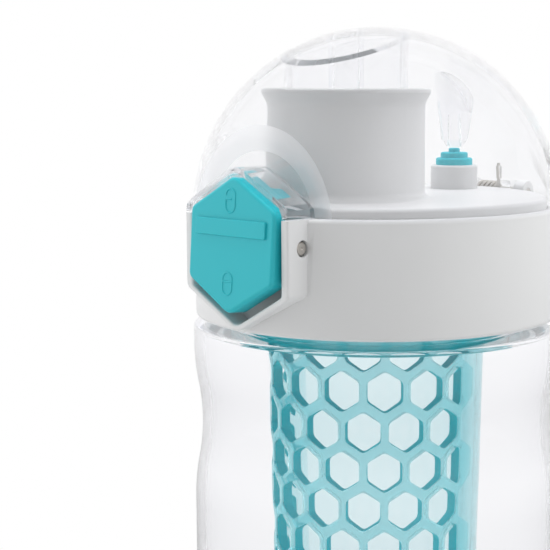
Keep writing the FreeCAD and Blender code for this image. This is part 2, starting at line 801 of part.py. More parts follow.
def arc_between(start, knee, end):
    """Arc from start to end whose end tangents meet at the knee."""
    middle = (start + end) / 2
    cosine = (end - start).Length / 2 / (knee - start).Length
    through = middle + (knee - middle) * (cosine / (1 + cosine))
    return Part.Arc(start, through, end).toShape()


def biarc(start, start_heading, end, end_heading):
    """Two tangent arcs between two headings."""
    chord = end - start
    headings = start_heading + end_heading
    bend = 2 * (1 - start_heading.dot(end_heading))
    pull = chord.dot(headings)
    reach = (math.sqrt(pull**2 + bend * chord.dot(chord)) - pull) / bend
    first_knee = start + start_heading * reach
    last_knee = end - end_heading * reach
    middle = (first_knee + last_knee) / 2
    return [arc_between(start, first_knee, middle), arc_between(middle, last_knee, end)]


def hinge_spring():
    """Torsion spring on the hinge pin: one wire with a leg on the collar and a leg on the lid."""
    quarter_share = 1 / 4
    first, last = coil_point(0), coil_point(SPRING_TURNS)
    lower_tip = first - coil_heading(0) * SPRING_LEG
    upper_tip = last + coil_heading(SPRING_TURNS) * SPRING_LEG
    edges = [Part.LineSegment(lower_tip, first).toShape()]
    for index in range(4 * SPRING_TURNS):
        turn = index * quarter_share
        nearer = (coil_point(turn), coil_heading(turn))
        farther = (coil_point(turn + quarter_share), coil_heading(turn + quarter_share))
        edges.extend(biarc(*nearer, *farther))
    edges.append(Part.LineSegment(last, upper_tip).toShape())
    circle = Part.Circle(lower_tip, coil_heading(0), SPRING_WIRE_RADIUS).toShape()
    return Part.Wire(edges).makePipeShell([Part.Wire([circle])], True, False)


def spring_self_gap():
    """Least gap between neighbouring turns of the torsion spring, measured on points."""
    steps = 48
    places = [coil_point(index / steps) for index in range(steps * SPRING_TURNS + 1)]
    far_share = 1 / 2
    least = min(
        (one - other).Length
        for index, one in enumerate(places)
        for other in places[index + int(steps * far_share):]
    )
    return least - 2 * SPRING_WIRE_RADIUS


def latch_pin():
    """Steel pin that the rocker turns on, just below flush with the housing sides."""
    reach = housing_half_width - LATCH_PIN_INSET
    return rod(LATCH_PIN_RADIUS, -reach, reach, latch_pin_y, latch_z)


def latch_rocker():
    """Rocking catch: plate, pin barrels, button rails and the hook that holds the lid."""
    spans = [
        (rocker_half_width, latch_z - ROCKER_HALF_HEIGHT, latch_z + ROCKER_HALF_HEIGHT, rocker_back),
        (ROCKER_TAIL_HALF_WIDTH, latch_z - ROCKER_TAIL, latch_z, rocker_back),
        (HOOK_HALF_WIDTH, latch_z, hook_z + HOOK_HEIGHT, rocker_back),
        (HOOK_HALF_WIDTH, hook_z, hook_z + HOOK_HEIGHT, keeper_front - HOOK_SHORT),
    ]
    plate, *added = [
        block((-half, rocker_front, low), (half, back, high)) for half, low, high, back in spans
    ]
    barrel_outer = cavity_half_width - ROCKER_BARREL_GAP
    for start in (ROCKER_BARREL_INNER, -barrel_outer):
        end = start + barrel_outer - ROCKER_BARREL_INNER
        added.append(rod(ROCKER_BARREL_RADIUS, start, end, latch_pin_y, latch_z))
    for side in (-RAIL_OFFSET, RAIL_OFFSET):
        low = (side - RAIL_WIDTH / 2, rocker_front - RAIL_PROUD, latch_z - RAIL_HALF_LENGTH)
        high = (side + RAIL_WIDTH / 2, rocker_back, latch_z + RAIL_HALF_LENGTH)
        added.append(block(low, high))
    wide = cavity_half_width + OVERRUN
    hole = rod(LATCH_PIN_RADIUS + PIN_CLEARANCE, -wide, wide, latch_pin_y, latch_z)
    return plate.fuse(added).cut(hole).removeSplitter()


def button_slots():
    """Grooves in the back of the button, longer than the rails by the lock travel."""
    slots = []
    half = RAIL_WIDTH / 2 + ROCKER_CLEARANCE
    depth = rocker_front - RAIL_PROUD - ROCKER_CLEARANCE
    bottom = latch_z - RAIL_HALF_LENGTH - ROCKER_CLEARANCE
    top = latch_z + RAIL_HALF_LENGTH + BUTTON_TRAVEL + ROCKER_CLEARANCE
    for side in (-RAIL_OFFSET, RAIL_OFFSET):
        slots.append(block((side - half, depth, bottom), (side + half, button_back + OVERRUN, top)))
    return slots


def at_front(edge, front):
    """Whether an edge lies wholly in the plane y = front."""
    return max(abs(vertex.Y - front) for vertex in edge.Vertexes) < SAME_POINT


def lock_button():
    """Teal six-sided button that leans out at its foot, with a raised thumb bar and rounded front edges."""
    corners = hexagon(
        BUTTON_HALF_WIDTH, BUTTON_HALF_HEIGHT, BUTTON_HALF_HEIGHT, BUTTON_CORNER_ROUND, BUTTON_PEAK_ROUND
    )
    slab = prism_y(corners, button_face, button_back + BUTTON_THICKNESS)
    front_edges = [edge for edge in slab.Edges if at_front(edge, button_face)]
    slab = slab.makeFillet(BUTTON_EDGE_ROUND, front_edges)
    middle = latch_z + BAR_RISE
    bar_front = button_face - BAR_PROUD
    bar = prism_y([
        (-bar_half_length, middle - BAR_HALF_HEIGHT, BAR_ROUND),
        (bar_half_length, middle - BAR_HALF_HEIGHT, BAR_ROUND),
        (bar_half_length, middle + BAR_HALF_HEIGHT, BAR_ROUND),
        (-bar_half_length, middle + BAR_HALF_HEIGHT, BAR_ROUND),
    ], bar_front, button_back - BUTTON_THICKNESS / 2)
    bar = bar.makeFillet(BAR_ROUND / 2, [edge for edge in bar.Edges if at_front(edge, bar_front)])
    leaning = slab.fuse(bar)
    leaning.rotate(Vector(0, button_face, latch_z), ACROSS, -BUTTON_LEAN)
    reach = BUTTON_HALF_HEIGHT + BUTTON_HALF_WIDTH
    behind = block(
        (-reach, button_back, latch_z - reach), (reach, button_back + 2 * BUTTON_THICKNESS, latch_z + reach)
    )
    return leaning.cut([behind, *button_slots()]).removeSplitter()


def latch_spring():
    """Bowed steel strip between the rocker's tail and the thread skirt."""
    middle = latch_z - BOW_DROP
    foot = rocker_back + SEAT_CLEARANCE
    crown = -skirt_radius - SEAT_CLEARANCE
    low, high = middle - BOW_HALF_LENGTH, middle + BOW_HALF_LENGTH
    inner_high = high - BOW_THICKNESS
    inner_low = low + BOW_THICKNESS
    start = -BOW_HALF_WIDTH
    outer = Part.Arc(Vector(start, foot, low), Vector(start, crown, middle), Vector(start, foot, high))
    inner = Part.Arc(
        Vector(start, foot, inner_low), Vector(start, crown - BOW_THICKNESS, middle),
        Vector(start, foot, inner_high),
    )
    ends = [
        Part.LineSegment(Vector(start, foot, low), Vector(start, foot, inner_low)),
        Part.LineSegment(Vector(start, foot, high), Vector(start, foot, inner_high)),
    ]
    edges = [curve.toShape() for curve in (outer, ends[1], inner, ends[0])]
    face = Part.Face(Part.Wire(Part.__sortEdges__(edges)))
    return face.extrude(Vector(2 * BOW_HALF_WIDTH, 0, 0))


PIECES = (
    bottle_body,
    infuser_basket,
    neck_gasket,
    cap_shell,
    cap_deck,
    vent_seal,
    lid_dome,
    spout_stopper,
    hinge_pin,
    hinge_spring,
    latch_pin,
    latch_rocker,
    lock_button,
    latch_spring,
)

for piece in PIECES:
    piece().exportStep(f"parts/{piece.__name__}.step")

print(f"hinge spring: least gap to itself {spring_self_gap():.2f} mm")
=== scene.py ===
"""Fruit infuser water bottle, dressed for the render.

Sizes are in millimetres in the row frame: the bottle stands on z = 0, the latch faces -Y and the lid
hinge is at +Y. Azimuths are in degrees from the front, towards +X.
"""

import json
import logging
import math
from collections.abc import Callable, Iterable, Sequence
from dataclasses import dataclass
from enum import Enum

import bmesh
import bpy
from mathutils import Matrix, Vector

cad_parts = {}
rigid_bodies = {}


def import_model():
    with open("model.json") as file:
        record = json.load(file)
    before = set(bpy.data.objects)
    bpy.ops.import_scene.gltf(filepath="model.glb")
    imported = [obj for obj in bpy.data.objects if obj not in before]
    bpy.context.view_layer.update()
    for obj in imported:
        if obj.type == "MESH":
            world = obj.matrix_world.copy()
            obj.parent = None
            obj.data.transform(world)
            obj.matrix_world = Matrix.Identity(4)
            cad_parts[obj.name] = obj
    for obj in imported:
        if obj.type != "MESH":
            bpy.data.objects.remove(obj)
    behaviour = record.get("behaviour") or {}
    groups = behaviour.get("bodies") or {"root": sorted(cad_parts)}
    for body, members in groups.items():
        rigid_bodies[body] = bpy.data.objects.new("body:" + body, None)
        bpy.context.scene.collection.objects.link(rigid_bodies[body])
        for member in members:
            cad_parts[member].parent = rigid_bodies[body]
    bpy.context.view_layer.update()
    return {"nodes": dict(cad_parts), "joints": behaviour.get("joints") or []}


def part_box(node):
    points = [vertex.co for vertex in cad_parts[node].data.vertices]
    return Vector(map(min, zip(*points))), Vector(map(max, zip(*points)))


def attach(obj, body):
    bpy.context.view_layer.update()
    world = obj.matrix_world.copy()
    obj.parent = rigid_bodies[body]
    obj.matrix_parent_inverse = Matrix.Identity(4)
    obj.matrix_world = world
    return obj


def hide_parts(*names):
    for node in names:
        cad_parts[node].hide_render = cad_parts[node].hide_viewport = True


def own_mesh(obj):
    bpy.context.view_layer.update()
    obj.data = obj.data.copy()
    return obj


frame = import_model()

log = logging.getLogger("infuser_bottle")

Point = tuple[float, float]
Corner = tuple[float, float, float]
Spot = tuple[float, float, float]
Colour = tuple[float, float, float]
Ring = list[bmesh.types.BMVert]

MM = 0.001
TINY = 1e-9
EDGE_TURNS = range(0, 91, 18)
MARK = "mark"


class Body(Enum):
    """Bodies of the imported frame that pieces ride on."""

    BOTTLE = "bottle"
    INFUSER = "infuser"
    CAP = "cap"
    LID = "lid"
    LATCH = "latch"
    BUTTON = "button"


class Carve(Enum):
    """Ways to combine one solid with others."""

    JOIN = "UNION"
    CUT = "DIFFERENCE"


def around(radius: float, azimuth: float, height: float, shift: float = 0.0) -> Spot:
    """Point on an upright cylinder.

    Args:
        radius: Distance from the upright axis.
        azimuth: Degrees from the front, towards +X.
        height: Height of the point.
        shift: Place of the axis along Y.

    Returns:
        The point in millimetres.
    """
    turn = math.radians(azimuth)
    return (radius * math.sin(turn), shift - radius * math.cos(turn), height)


def held(value: float) -> float:
    """Value held between zero and one."""
    return max(0.0, min(1.0, value))


def upside_down(spot: Vector) -> Spot:
    """Point mirrored in the plane of the base."""
    return (spot.x, spot.y, -spot.z)


def along(start: Point, end: Point, distance: float) -> Point:
    """Point at a distance from one flat point towards another."""
    share = distance / math.dist(start, end)
    return (start[0] + (end[0] - start[0]) * share, start[1] + (end[1] - start[1]) * share)


def arc(centre: Point, radius: float, start: float, end: float, steps: int) -> list[Point]:
    """Points along a flat arc.

    Args:
        centre: Centre of the arc.
        radius: Its radius.
        start: First angle in degrees.
        end: Last angle in degrees.
        steps: Number of chords.

    Returns:
        The points from start to end.
    """
    turns = [math.radians(start + (end - start) * index / steps) for index in range(steps + 1)]
    return [(centre[0] + radius * math.cos(turn), centre[1] + radius * math.sin(turn)) for turn in turns]


def rounded(corners: Sequence[Corner], chord: float = 1.2, bend: float = 15.0) -> list[Point]:
    """Flat outline with its corners rounded by arcs.

    Args:
        corners: Corners as (across, up, rounding), in order.
        chord: Longest chord of an arc.
        bend: Largest turn of one chord, in degrees.

    Returns:
        The outline's points.
    """
    spots = [(corner[0], corner[1]) for corner in corners]
    outline: list[Point] = []
    for index, (across, up, radius) in enumerate(corners):
        if radius <= 0:
            outline.append((across, up))
            continue
        before, corner, after = spots[index - 1], (across, up), spots[(index + 1) % len(spots)]
        back = math.atan2(before[1] - corner[1], before[0] - corner[0])
        ahead = math.atan2(after[1] - corner[1], after[0] - corner[0])
        half = abs((ahead - back + math.pi) % (2 * math.pi) - math.pi) / 2
        reach = radius / math.tan(half)
        start, end = along(corner, before, reach), along(corner, after, reach)
        middle = ((start[0] + end[0]) / 2, (start[1] + end[1]) / 2)
        centre = along(corner, middle, radius / math.sin(half))
        first = math.atan2(start[1] - centre[1], start[0] - centre[0])
        last = math.atan2(end[1] - centre[1], end[0] - centre[0])
        sweep = (last - first + math.pi) % (2 * math.pi) - math.pi
        steps = max(2, math.ceil(abs(sweep) * radius / chord), math.ceil(abs(math.degrees(sweep)) / bend))
        outline += arc(centre, radius, math.degrees(first), math.degrees(first + sweep), steps)
    return outline


def shade(mesh: bpy.types.Mesh, sharp: float) -> None:
    """Smooth shading with creases over an angle, in degrees."""
    mesh.polygons.foreach_set("use_smooth", [True] * len(mesh.polygons))
    mesh.set_sharp_from_angle(angle=math.radians(sharp))


class Form:
    """Mesh under construction, in millimetres."""

    def __init__(self) -> None:
        """Start with an empty mesh."""
        self.mesh = bmesh.new()
        self.mark = self.mesh.faces.layers.float.new(MARK)

    def ring(self, spots: Iterable[Spot]) -> Ring:
        """New vertices at the given points."""
        return [self.mesh.verts.new(spot) for spot in spots]

    def band(self, first: Ring, second: Ring, mark: float = 0.0) -> None:
        """Faces between two closed rings, of which one may be a single pole.

        Args:
            first: Vertices of one ring.
            second: Vertices of the other.
            mark: How far the faces show the full colour of a marked plastic.
        """
        count = max(len(first), len(second))
        for index in range(count):
            following = (index + 1) % count
            corners = [first[index % len(first)], first[following % len(first)]]
            corners += [second[following % len(second)], second[index % len(second)]]
            unique = list(dict.fromkeys(corners))
            if len(unique) > 2:
                self.mesh.faces.new(unique)[self.mark] = mark

    def loft(
        self, loops: Sequence[Sequence[Spot]], closed: bool = False, marks: Sequence[float] = ()
    ) -> "Form":
        """Skin through loops of points.

        Args:
            loops: Loops of equal length, or single points at the ends.
            closed: Whether the last loop joins the first, and otherwise both ends are capped.
            marks: Mark of each band between two loops, or nothing for none.

        Returns:
            This form.
        """
        rings = [self.ring(loop) for loop in loops]
        for index, (first, second) in enumerate(zip(rings, rings[1:])):
            self.band(first, second, marks[index] if marks else 0.0)
        if closed:
            self.band(rings[-1], rings[0])
        else:
            for end in (rings[0], rings[-1]):
                if len(end) > 2:
                    self.mesh.faces.new(end)
        return self

    def turned(
        self, profile: Sequence[Point], segments: int, shift: float = 0.0, marks: Sequence[float] = ()
    ) -> "Form":
        """Body of revolution about an upright axis.

        Args:
            profile: Points as (radius, height). Where its ends aren't on the axis, it is a closed section.
            segments: Number of facets round the axis.
            shift: Place of the axis along Y.
            marks: Mark of each band between two points of the profile, or nothing for none.

        Returns:
            This form.
        """
        loops = []
        for radius, height in profile:
            count = segments if radius > 0 else 1
            loops.append([around(radius, 360 * k / segments, height, shift) for k in range(count)])
        return self.loft(loops, closed=profile[0][0] > 0, marks=marks)

    def tube(self, path: Sequence[Spot], radius: float, sides: int = 12) -> "Form":
        """Round wire along a path.

        Args:
            path: Points of its centreline.
            radius: Radius of the wire.
            sides: Facets round the wire.

        Returns:
            This form.
        """
        spots = [Vector(spot) for spot in path]
        heading = (spots[1] - spots[0]).normalized()
        side = heading.orthogonal().normalized()
        loops = []
        for index, spot in enumerate(spots):
            ahead = (spots[min(index + 1, len(spots) - 1)] - spots[max(index - 1, 0)]).normalized()
            side = (heading.rotation_difference(ahead) @ side).normalized()
            heading = ahead
            other = heading.cross(side)
            turns = [2 * math.pi * k / sides for k in range(sides)]
            loops.append([tuple(spot + (side * math.cos(t) + other * math.sin(t)) * radius) for t in turns])
        return self.loft(loops)

    def moved(self, change: Callable[[Vector], Spot]) -> "Form":
        """Move every vertex by a function of its place.

        Args:
            change: Function that gives the new place of a point.

        Returns:
            This form.
        """
        for vertex in self.mesh.verts:
            vertex.co = change(vertex.co)
        return self

    def above(self, height: float, rim: bool = False) -> "Form":
        """Keep what is over a height and close the cut.

        Args:
            height: Height of the cut.
            rim: Whether the cut is a ring between an outer and an inner loop.

        Returns:
            This form.
        """
        everything = [*self.mesh.verts, *self.mesh.edges, *self.mesh.faces]
        bmesh.ops.bisect_plane(
            self.mesh, geom=everything, plane_co=(0, 0, height), plane_no=(0, 0, 1), clear_inner=True
        )
        edges = [edge for edge in self.mesh.edges if edge.is_boundary]
        if rim:
            bmesh.ops.bridge_loops(self.mesh, edges=edges)
        else:
            bmesh.ops.holes_fill(self.mesh, edges=edges, sides=0)
        return self

    def piece(self, name: str, sharp: float = 35.0, weld: float = 0.0) -> bpy.types.Object:
        """Turn the form into an object in the scene.

        Args:
            name: Name of the object.
            sharp: Angle in degrees over which edges stay sharp.
            weld: Distance within which vertices are merged.

        Returns:
            The object, in metres.
        """
        if weld:
            bmesh.ops.remove_doubles(self.mesh, verts=self.mesh.verts, dist=weld)
        bmesh.ops.recalc_face_normals(self.mesh, faces=self.mesh.faces)
        bmesh.ops.scale(self.mesh, vec=(MM, MM, MM), verts=self.mesh.verts)
        mesh = bpy.data.meshes.new(name)
        self.mesh.to_mesh(mesh)
        self.mesh.free()
        shade(mesh, sharp)
        made = bpy.data.objects.new(name, mesh)
        bpy.context.scene.collection.objects.link(made)
        return made


def carve(target: bpy.types.Object, others: Sequence[Form], how: Carve, sharp: float = 35.0) -> None:
    """Combine a piece with other forms for good.

    Args:
        target: Piece that changes.
        others: Forms that are joined to it or cut from it.
        how: Whether they are joined or cut.
        sharp: Angle in degrees over which edges stay sharp.
    """
    tools = bpy.data.collections.new(f"{target.name}_tools")
    bpy.context.scene.collection.children.link(tools)
    for index, form in enumerate(others):
        tool = form.piece(f"{target.name}_tool_{index}")
        bpy.context.scene.collection.objects.unlink(tool)
        tools.objects.link(tool)
    modifier = target.modifiers.new("combine", "BOOLEAN")
    modifier.operation = how.value
    modifier.solver = "EXACT"
    modifier.operand_type = "COLLECTION"
    modifier.collection = tools
    settled = target.evaluated_get(bpy.context.evaluated_depsgraph_get())
    mesh = bpy.data.meshes.new_from_object(settled)
    target.modifiers.clear()
    target.data = mesh
    for tool in list(tools.objects):
        bpy.data.objects.remove(tool)
    bpy.data.collections.remove(tools)
    shade(mesh, sharp)


def place_of(joint: str) -> Spot:
    """Point that a joint of the frame turns about, in millimetres."""
    found = next(entry for entry in frame["joints"] if entry["name"] == joint)
    return tuple(value / MM for value in found["pos_m"])


def low_high(node: str) -> tuple[Vector, Vector]:
    """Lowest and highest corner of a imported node, in millimetres."""
    low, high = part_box(node)
    return low / MM, high / MM


@dataclass(frozen=True)
class Layout:
    """Main places of the bottle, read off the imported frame."""

    body_radius: float
    rim_z: float
    collar_z: float
    seam_z: float
    lid_z: float
    dome_z: float
    lip_z: float
    basket_low: float
    flange_top: float
    hinge_y: float
    hinge_z: float
    latch_y: float
    latch_z: float

    @classmethod
    def read(cls, hinge_rise: float = 0.5, lid_gap: float = 0.25) -> "Layout":
        """Measure the frame.

        Args:
            hinge_rise: Height of the lid hinge over the seam.
            lid_gap: Gap between the collar and the lid.

        Returns:
            The layout.
        """
        _, body_high = low_high("bottle_body")
        collar_low, _ = low_high("cap_shell")
        _, lid_high = low_high("lid_dome")
        _, deck_high = low_high("cap_deck")
        basket_low, basket_high = low_high("infuser_basket")
        hinge, latch = place_of("lid_hinge"), place_of("latch_press")
        seam = hinge[2] - hinge_rise
        return cls(
            body_radius=body_high.x,
            rim_z=body_high.z,
            collar_z=collar_low.z,
            seam_z=seam,
            lid_z=seam + lid_gap,
            dome_z=lid_high.z - body_high.x,
            lip_z=deck_high.z,
            basket_low=basket_low.z,
            flange_top=basket_high.z,
            hinge_y=hinge[1],
            hinge_z=hinge[2],
            latch_y=latch[1],
            latch_z=latch[2],
        )


class Sheet:
    """Node tree being wired."""

    def __init__(self, tree: bpy.types.NodeTree) -> None:
        """Start on an empty tree."""
        self.tree = tree
        tree.nodes.clear()

    def add(self, kind: str, settings: dict | None = None, **inputs: object) -> bpy.types.Node:
        """Add a node.

        Args:
            kind: Type of the node.
            settings: Properties of the node.
            inputs: Values or sockets for its inputs, with underscores for spaces.

        Returns:
            The node.
        """
        node = self.tree.nodes.new(kind)
        for key, value in (settings or {}).items():
            setattr(node, key, value)
        for key, value in inputs.items():
            self.feed(node.inputs[key.replace("_", " ")], value)
        return node

    def feed(self, socket: bpy.types.NodeSocket, value: object) -> None:
        """Set or link one input.

        Args:
            socket: Input of a node.
            value: Value, or the socket that feeds it.
        """
        if isinstance(value, bpy.types.NodeSocket):
            self.tree.links.new(value, socket)
        elif isinstance(value, tuple) and len(value) == 3 and socket.type == "RGBA":
            socket.default_value = (*value, 1.0)
        else:
            socket.default_value = value

    def figure(self, operation: str, *values: object, clamp: bool = False) -> bpy.types.NodeSocket:
        """Work out a value with a math node.

        Args:
            operation: What the node does with its values.
            values: Values or sockets, in order.
            clamp: Whether the result is held between zero and one.

        Returns:
            The result.
        """
        node = self.add("ShaderNodeMath", {"operation": operation, "use_clamp": clamp})
        for socket, value in zip(node.inputs, values):
            self.feed(socket, value)
        return node.outputs[0]

    def mixed(
        self, share: bpy.types.NodeSocket, first: bpy.types.NodeSocket, second: bpy.types.NodeSocket
    ) -> bpy.types.NodeSocket:
        """Mix two shaders.

        Args:
            share: Share of the second shader.
            first: First shader.
            second: Second shader.

        Returns:
            The mixed shader.
        """
        node = self.add("ShaderNodeMixShader")
        for socket, value in zip(node.inputs, (share, first, second)):
            self.feed(socket, value)
        return node.outputs[0]

    def chosen(self, mask: bpy.types.NodeSocket, other: object, value: object) -> bpy.types.NodeSocket:
        """Value where a mask is one, and otherwise the other value.

        Args:
            mask: One where the value holds.
            other: Value where the mask is zero.
            value: Value where the mask is one.

        Returns:
            The chosen value.
        """
        node = self.add("ShaderNodeMix")
        for index, source in ((0, mask), (2, other), (3, value)):
            self.feed(node.inputs[index], source)
        return node.outputs[0]


def blank_material(name: str) -> tuple[bpy.types.Material, Sheet]:
    """New material with nothing wired yet.

    Args:
        name: Name of the material.

    Returns:
        The material and the sheet to wire it on.
    """
    material = bpy.data.materials.new(name)
    material.use_nodes = True
    return material, Sheet(material.node_tree)


class SurfaceGroups:
    """Shared shader effects, each built once.

    Attributes:
        drift_scale: Scale of the slow drifts of tone and gloss.
        smear_scale: Scale of the smears.
        smear_band: Levels of the noise at which smears start and are full.
    """

    drift_scale: float = 38.0
    smear_scale: float = 45.0
    smear_band: Point = (0.5, 0.85)

    def __init__(self) -> None:
        """Build every group."""
        self.grain = self._moulded_grain()
        self.smears = self._handling_smears()

    @staticmethod
    def _group(
        name: str, inputs: dict[str, float], outputs: Sequence[str]
    ) -> tuple[bpy.types.NodeTree, Sheet]:
        """New group with float sockets.

        Args:
            name: Name of the group.
            inputs: Names of its inputs, with their values.
            outputs: Names of its outputs.

        Returns:
            The group and the sheet to wire it on.
        """
        tree = bpy.data.node_groups.new(name, "ShaderNodeTree")
        for key, value in inputs.items():
            socket = tree.interface.new_socket(key, in_out="INPUT", socket_type="NodeSocketFloat")
            socket.default_value = value
        for key in outputs:
            tree.interface.new_socket(key, in_out="OUTPUT", socket_type="NodeSocketFloat")
        return tree, Sheet(tree)

    def _moulded_grain(self) -> bpy.types.NodeTree:
        """Fine spark-eroded grain of moulded plastic, with slow drifts of tone and gloss.

        Returns:
            The group.
        """
        inputs = {"Grain Scale": 2600.0, "Roughness": 0.4, "Spread": 0.08}
        tree, sheet = self._group("moulded_grain", inputs, ("Height", "Roughness", "Drift"))
        source = sheet.add("NodeGroupInput").outputs
        where = sheet.add("ShaderNodeTexCoord").outputs["Object"]
        fine = sheet.add("ShaderNodeTexNoise", Vector=where, Scale=source["Grain Scale"], Detail=3.0)
        slow = sheet.add("ShaderNodeTexNoise", Vector=where, Scale=self.drift_scale, Detail=2.0)
        drift = slow.outputs["Fac"]
        centred = sheet.figure("SUBTRACT", drift, 0.5)
        roughness = sheet.figure("MULTIPLY_ADD", centred, source["Spread"], source["Roughness"])
        sheet.add("NodeGroupOutput", Height=fine.outputs["Fac"], Roughness=roughness, Drift=drift)
        return tree

    def _handling_smears(self) -> bpy.types.NodeTree:
        """Faint smears that blur clear plastic here and there.

        Returns:
            The group.
        """
        tree, sheet = self._group("handling_smears", {"Clear": 0.02, "Smeared": 0.07}, ("Roughness",))
        source = sheet.add("NodeGroupInput").outputs
        where = sheet.add("ShaderNodeTexCoord").outputs["Object"]
        cloud = sheet.add(
            "ShaderNodeTexNoise", Vector=where, Scale=self.smear_scale, Detail=4.0, Distortion=0.6
        )
        start, full = self.smear_band
        level = sheet.add(
            "ShaderNodeMapRange", Value=cloud.outputs["Fac"], From_Min=start, From_Max=full,
            To_Min=source["Clear"], To_Max=source["Smeared"],
        )
        sheet.add("NodeGroupOutput", Roughness=level.outputs["Result"])
        return tree


@dataclass(frozen=True)
class ClearPlastic:
    """Clear or tinted plastic that refracts, and that takes its tint from its depth.

    Attributes:
        slot: Material slot of the record.
        keeps: Colour that is left after a long way through the plastic.
        density: Absorption per metre.
        clear: Roughness where clean.
        smeared: Roughness where handled.
        index: Refractive index.
        lamp_tint: Colour of the light that lamps send through it.
        coat: Weight of its mirror reflection.
        leak: Share of the light that gets out where the inside would mirror it in full.
    """

    slot: str
    keeps: Colour
    density: float
    clear: float
    smeared: float
    index: float
    lamp_tint: Colour
    coat: float
    leak: float

    def leaked(self, sheet: Sheet) -> bpy.types.NodeSocket:
        """Share that passes straight through, on the inside and past the angle of total reflection.

        Args:
            sheet: Node tree of the material.

        Returns:
            The share.
        """
        facing = sheet.add("ShaderNodeLayerWeight", Blend=0.5).outputs["Facing"]
        steep = sheet.figure("GREATER_THAN", facing, 1 - math.sqrt(1 - 1 / self.index**2))
        back = sheet.add("ShaderNodeNewGeometry").outputs["Backfacing"]
        return sheet.figure("MULTIPLY", sheet.figure("MULTIPLY", steep, back), self.leak)

    def roughness(self, sheet: Sheet, groups: SurfaceGroups) -> bpy.types.NodeSocket:
        """Roughness of the surface, with its smears.

        Args:
            sheet: Node tree of the material.
            groups: Shared shader effects.

        Returns:
            The roughness.
        """
        smears = sheet.add(
            "ShaderNodeGroup", {"node_tree": groups.smears}, Clear=self.clear, Smeared=self.smeared
        )
        return smears.outputs["Roughness"]

    def surface(self, sheet: Sheet, groups: SurfaceGroups) -> bpy.types.NodeSocket:
        """Shader of the surface.

        Args:
            sheet: Node tree of the material.
            groups: Shared shader effects.

        Returns:
            The shader.
        """
        plastic = sheet.add(
            "ShaderNodeBsdfPrincipled", Base_Color=(1.0, 1.0, 1.0), Transmission_Weight=1.0, IOR=self.index,
            Roughness=self.roughness(sheet, groups), Coat_Weight=self.coat,
        )
        straight = sheet.add("ShaderNodeBsdfTransparent")
        return sheet.mixed(self.leaked(sheet), plastic.outputs[0], straight.outputs[0])

    def make(self, groups: SurfaceGroups) -> bpy.types.Material:
        """Build the material.

        Args:
            groups: Shared shader effects.

        Returns:
            The material.
        """
        material, sheet = blank_material(self.slot)
        through = sheet.add("ShaderNodeBsdfTransparent", Color=self.lamp_tint)
        shadow = sheet.add("ShaderNodeLightPath").outputs["Is Shadow Ray"]
        surface = sheet.mixed(shadow, self.surface(sheet, groups), through.outputs[0])
        depth = sheet.add("ShaderNodeVolumeAbsorption", Color=self.keeps, Density=self.density)
        sheet.add("ShaderNodeOutputMaterial", Surface=surface, Volume=depth.outputs[0])
        return material


@dataclass(frozen=True)
class MarkedPlastic(ClearPlastic):
    """Clear or tinted plastic with marked faces that show a full colour.

    Attributes:
        full: Colour of the marked faces.
        cover: How far the full colour covers what is behind it.
        full_roughness: Roughness of the marked faces.
        full_gloss: Level of their mirror reflection.
    """

    full: Colour
    cover: float
    full_roughness: float
    full_gloss: float = 0.1

    def roughness(self, sheet: Sheet, groups: SurfaceGroups) -> bpy.types.NodeSocket:
        """Roughness of the surface, higher where it is marked.

        Args:
            sheet: Node tree of the material.
            groups: Shared shader effects.

        Returns:
            The roughness.
        """
        mark = sheet.add("ShaderNodeAttribute", {"attribute_name": MARK}).outputs["Fac"]
        clear = super().roughness(sheet, groups)
        return sheet.figure("MULTIPLY_ADD", mark, self.full_roughness - self.clear, clear)

    def surface(self, sheet: Sheet, groups: SurfaceGroups) -> bpy.types.NodeSocket:
        """Shader of the surface, with the marked faces coloured on their outer side.

        Args:
            sheet: Node tree of the material.
            groups: Shared shader effects.

        Returns:
            The shader.
        """
        clear = super().surface(sheet, groups)
        full = sheet.add(
            "ShaderNodeBsdfPrincipled", Base_Color=self.full, Roughness=self.full_roughness,
            Specular_IOR_Level=self.full_gloss,
        )
        mark = sheet.add("ShaderNodeAttribute", {"attribute_name": MARK}).outputs["Fac"]
        back = sheet.add("ShaderNodeNewGeometry").outputs["Backfacing"]
        outer = sheet.figure("SUBTRACT", sheet.figure("MULTIPLY", mark, self.cover), back, clamp=True)
        return sheet.mixed(outer, clear, full.outputs[0])


@dataclass(frozen=True)
class Grain:
    """Fine relief of a moulded or drawn surface.

    Attributes:
        scale: Scale of the grain.
        roughness: Mean roughness.
        spread: How far the roughness drifts.
        relief: Strength of the grain.
        depth: Depth of the grain.
    """

    scale: float
    roughness: float
    spread: float
    relief: float
    depth: float = 0.05

    def lay(
        self, sheet: Sheet, groups: SurfaceGroups
    ) -> tuple[bpy.types.bpy_prop_collection, bpy.types.NodeSocket]:
        """Place the grain in a material.

        Args:
            sheet: Node tree of the material.
            groups: Shared shader effects.

        Returns:
            The outputs of the grain's group, and the bumped normal.
        """
        grain = sheet.add(
            "ShaderNodeGroup", {"node_tree": groups.grain}, Grain_Scale=self.scale,
            Roughness=self.roughness, Spread=self.spread,
        )
        height = grain.outputs["Height"]
        bump = sheet.add("ShaderNodeBump", Strength=self.relief, Distance=self.depth * MM, Height=height)
        return grain.outputs, bump.outputs[0]


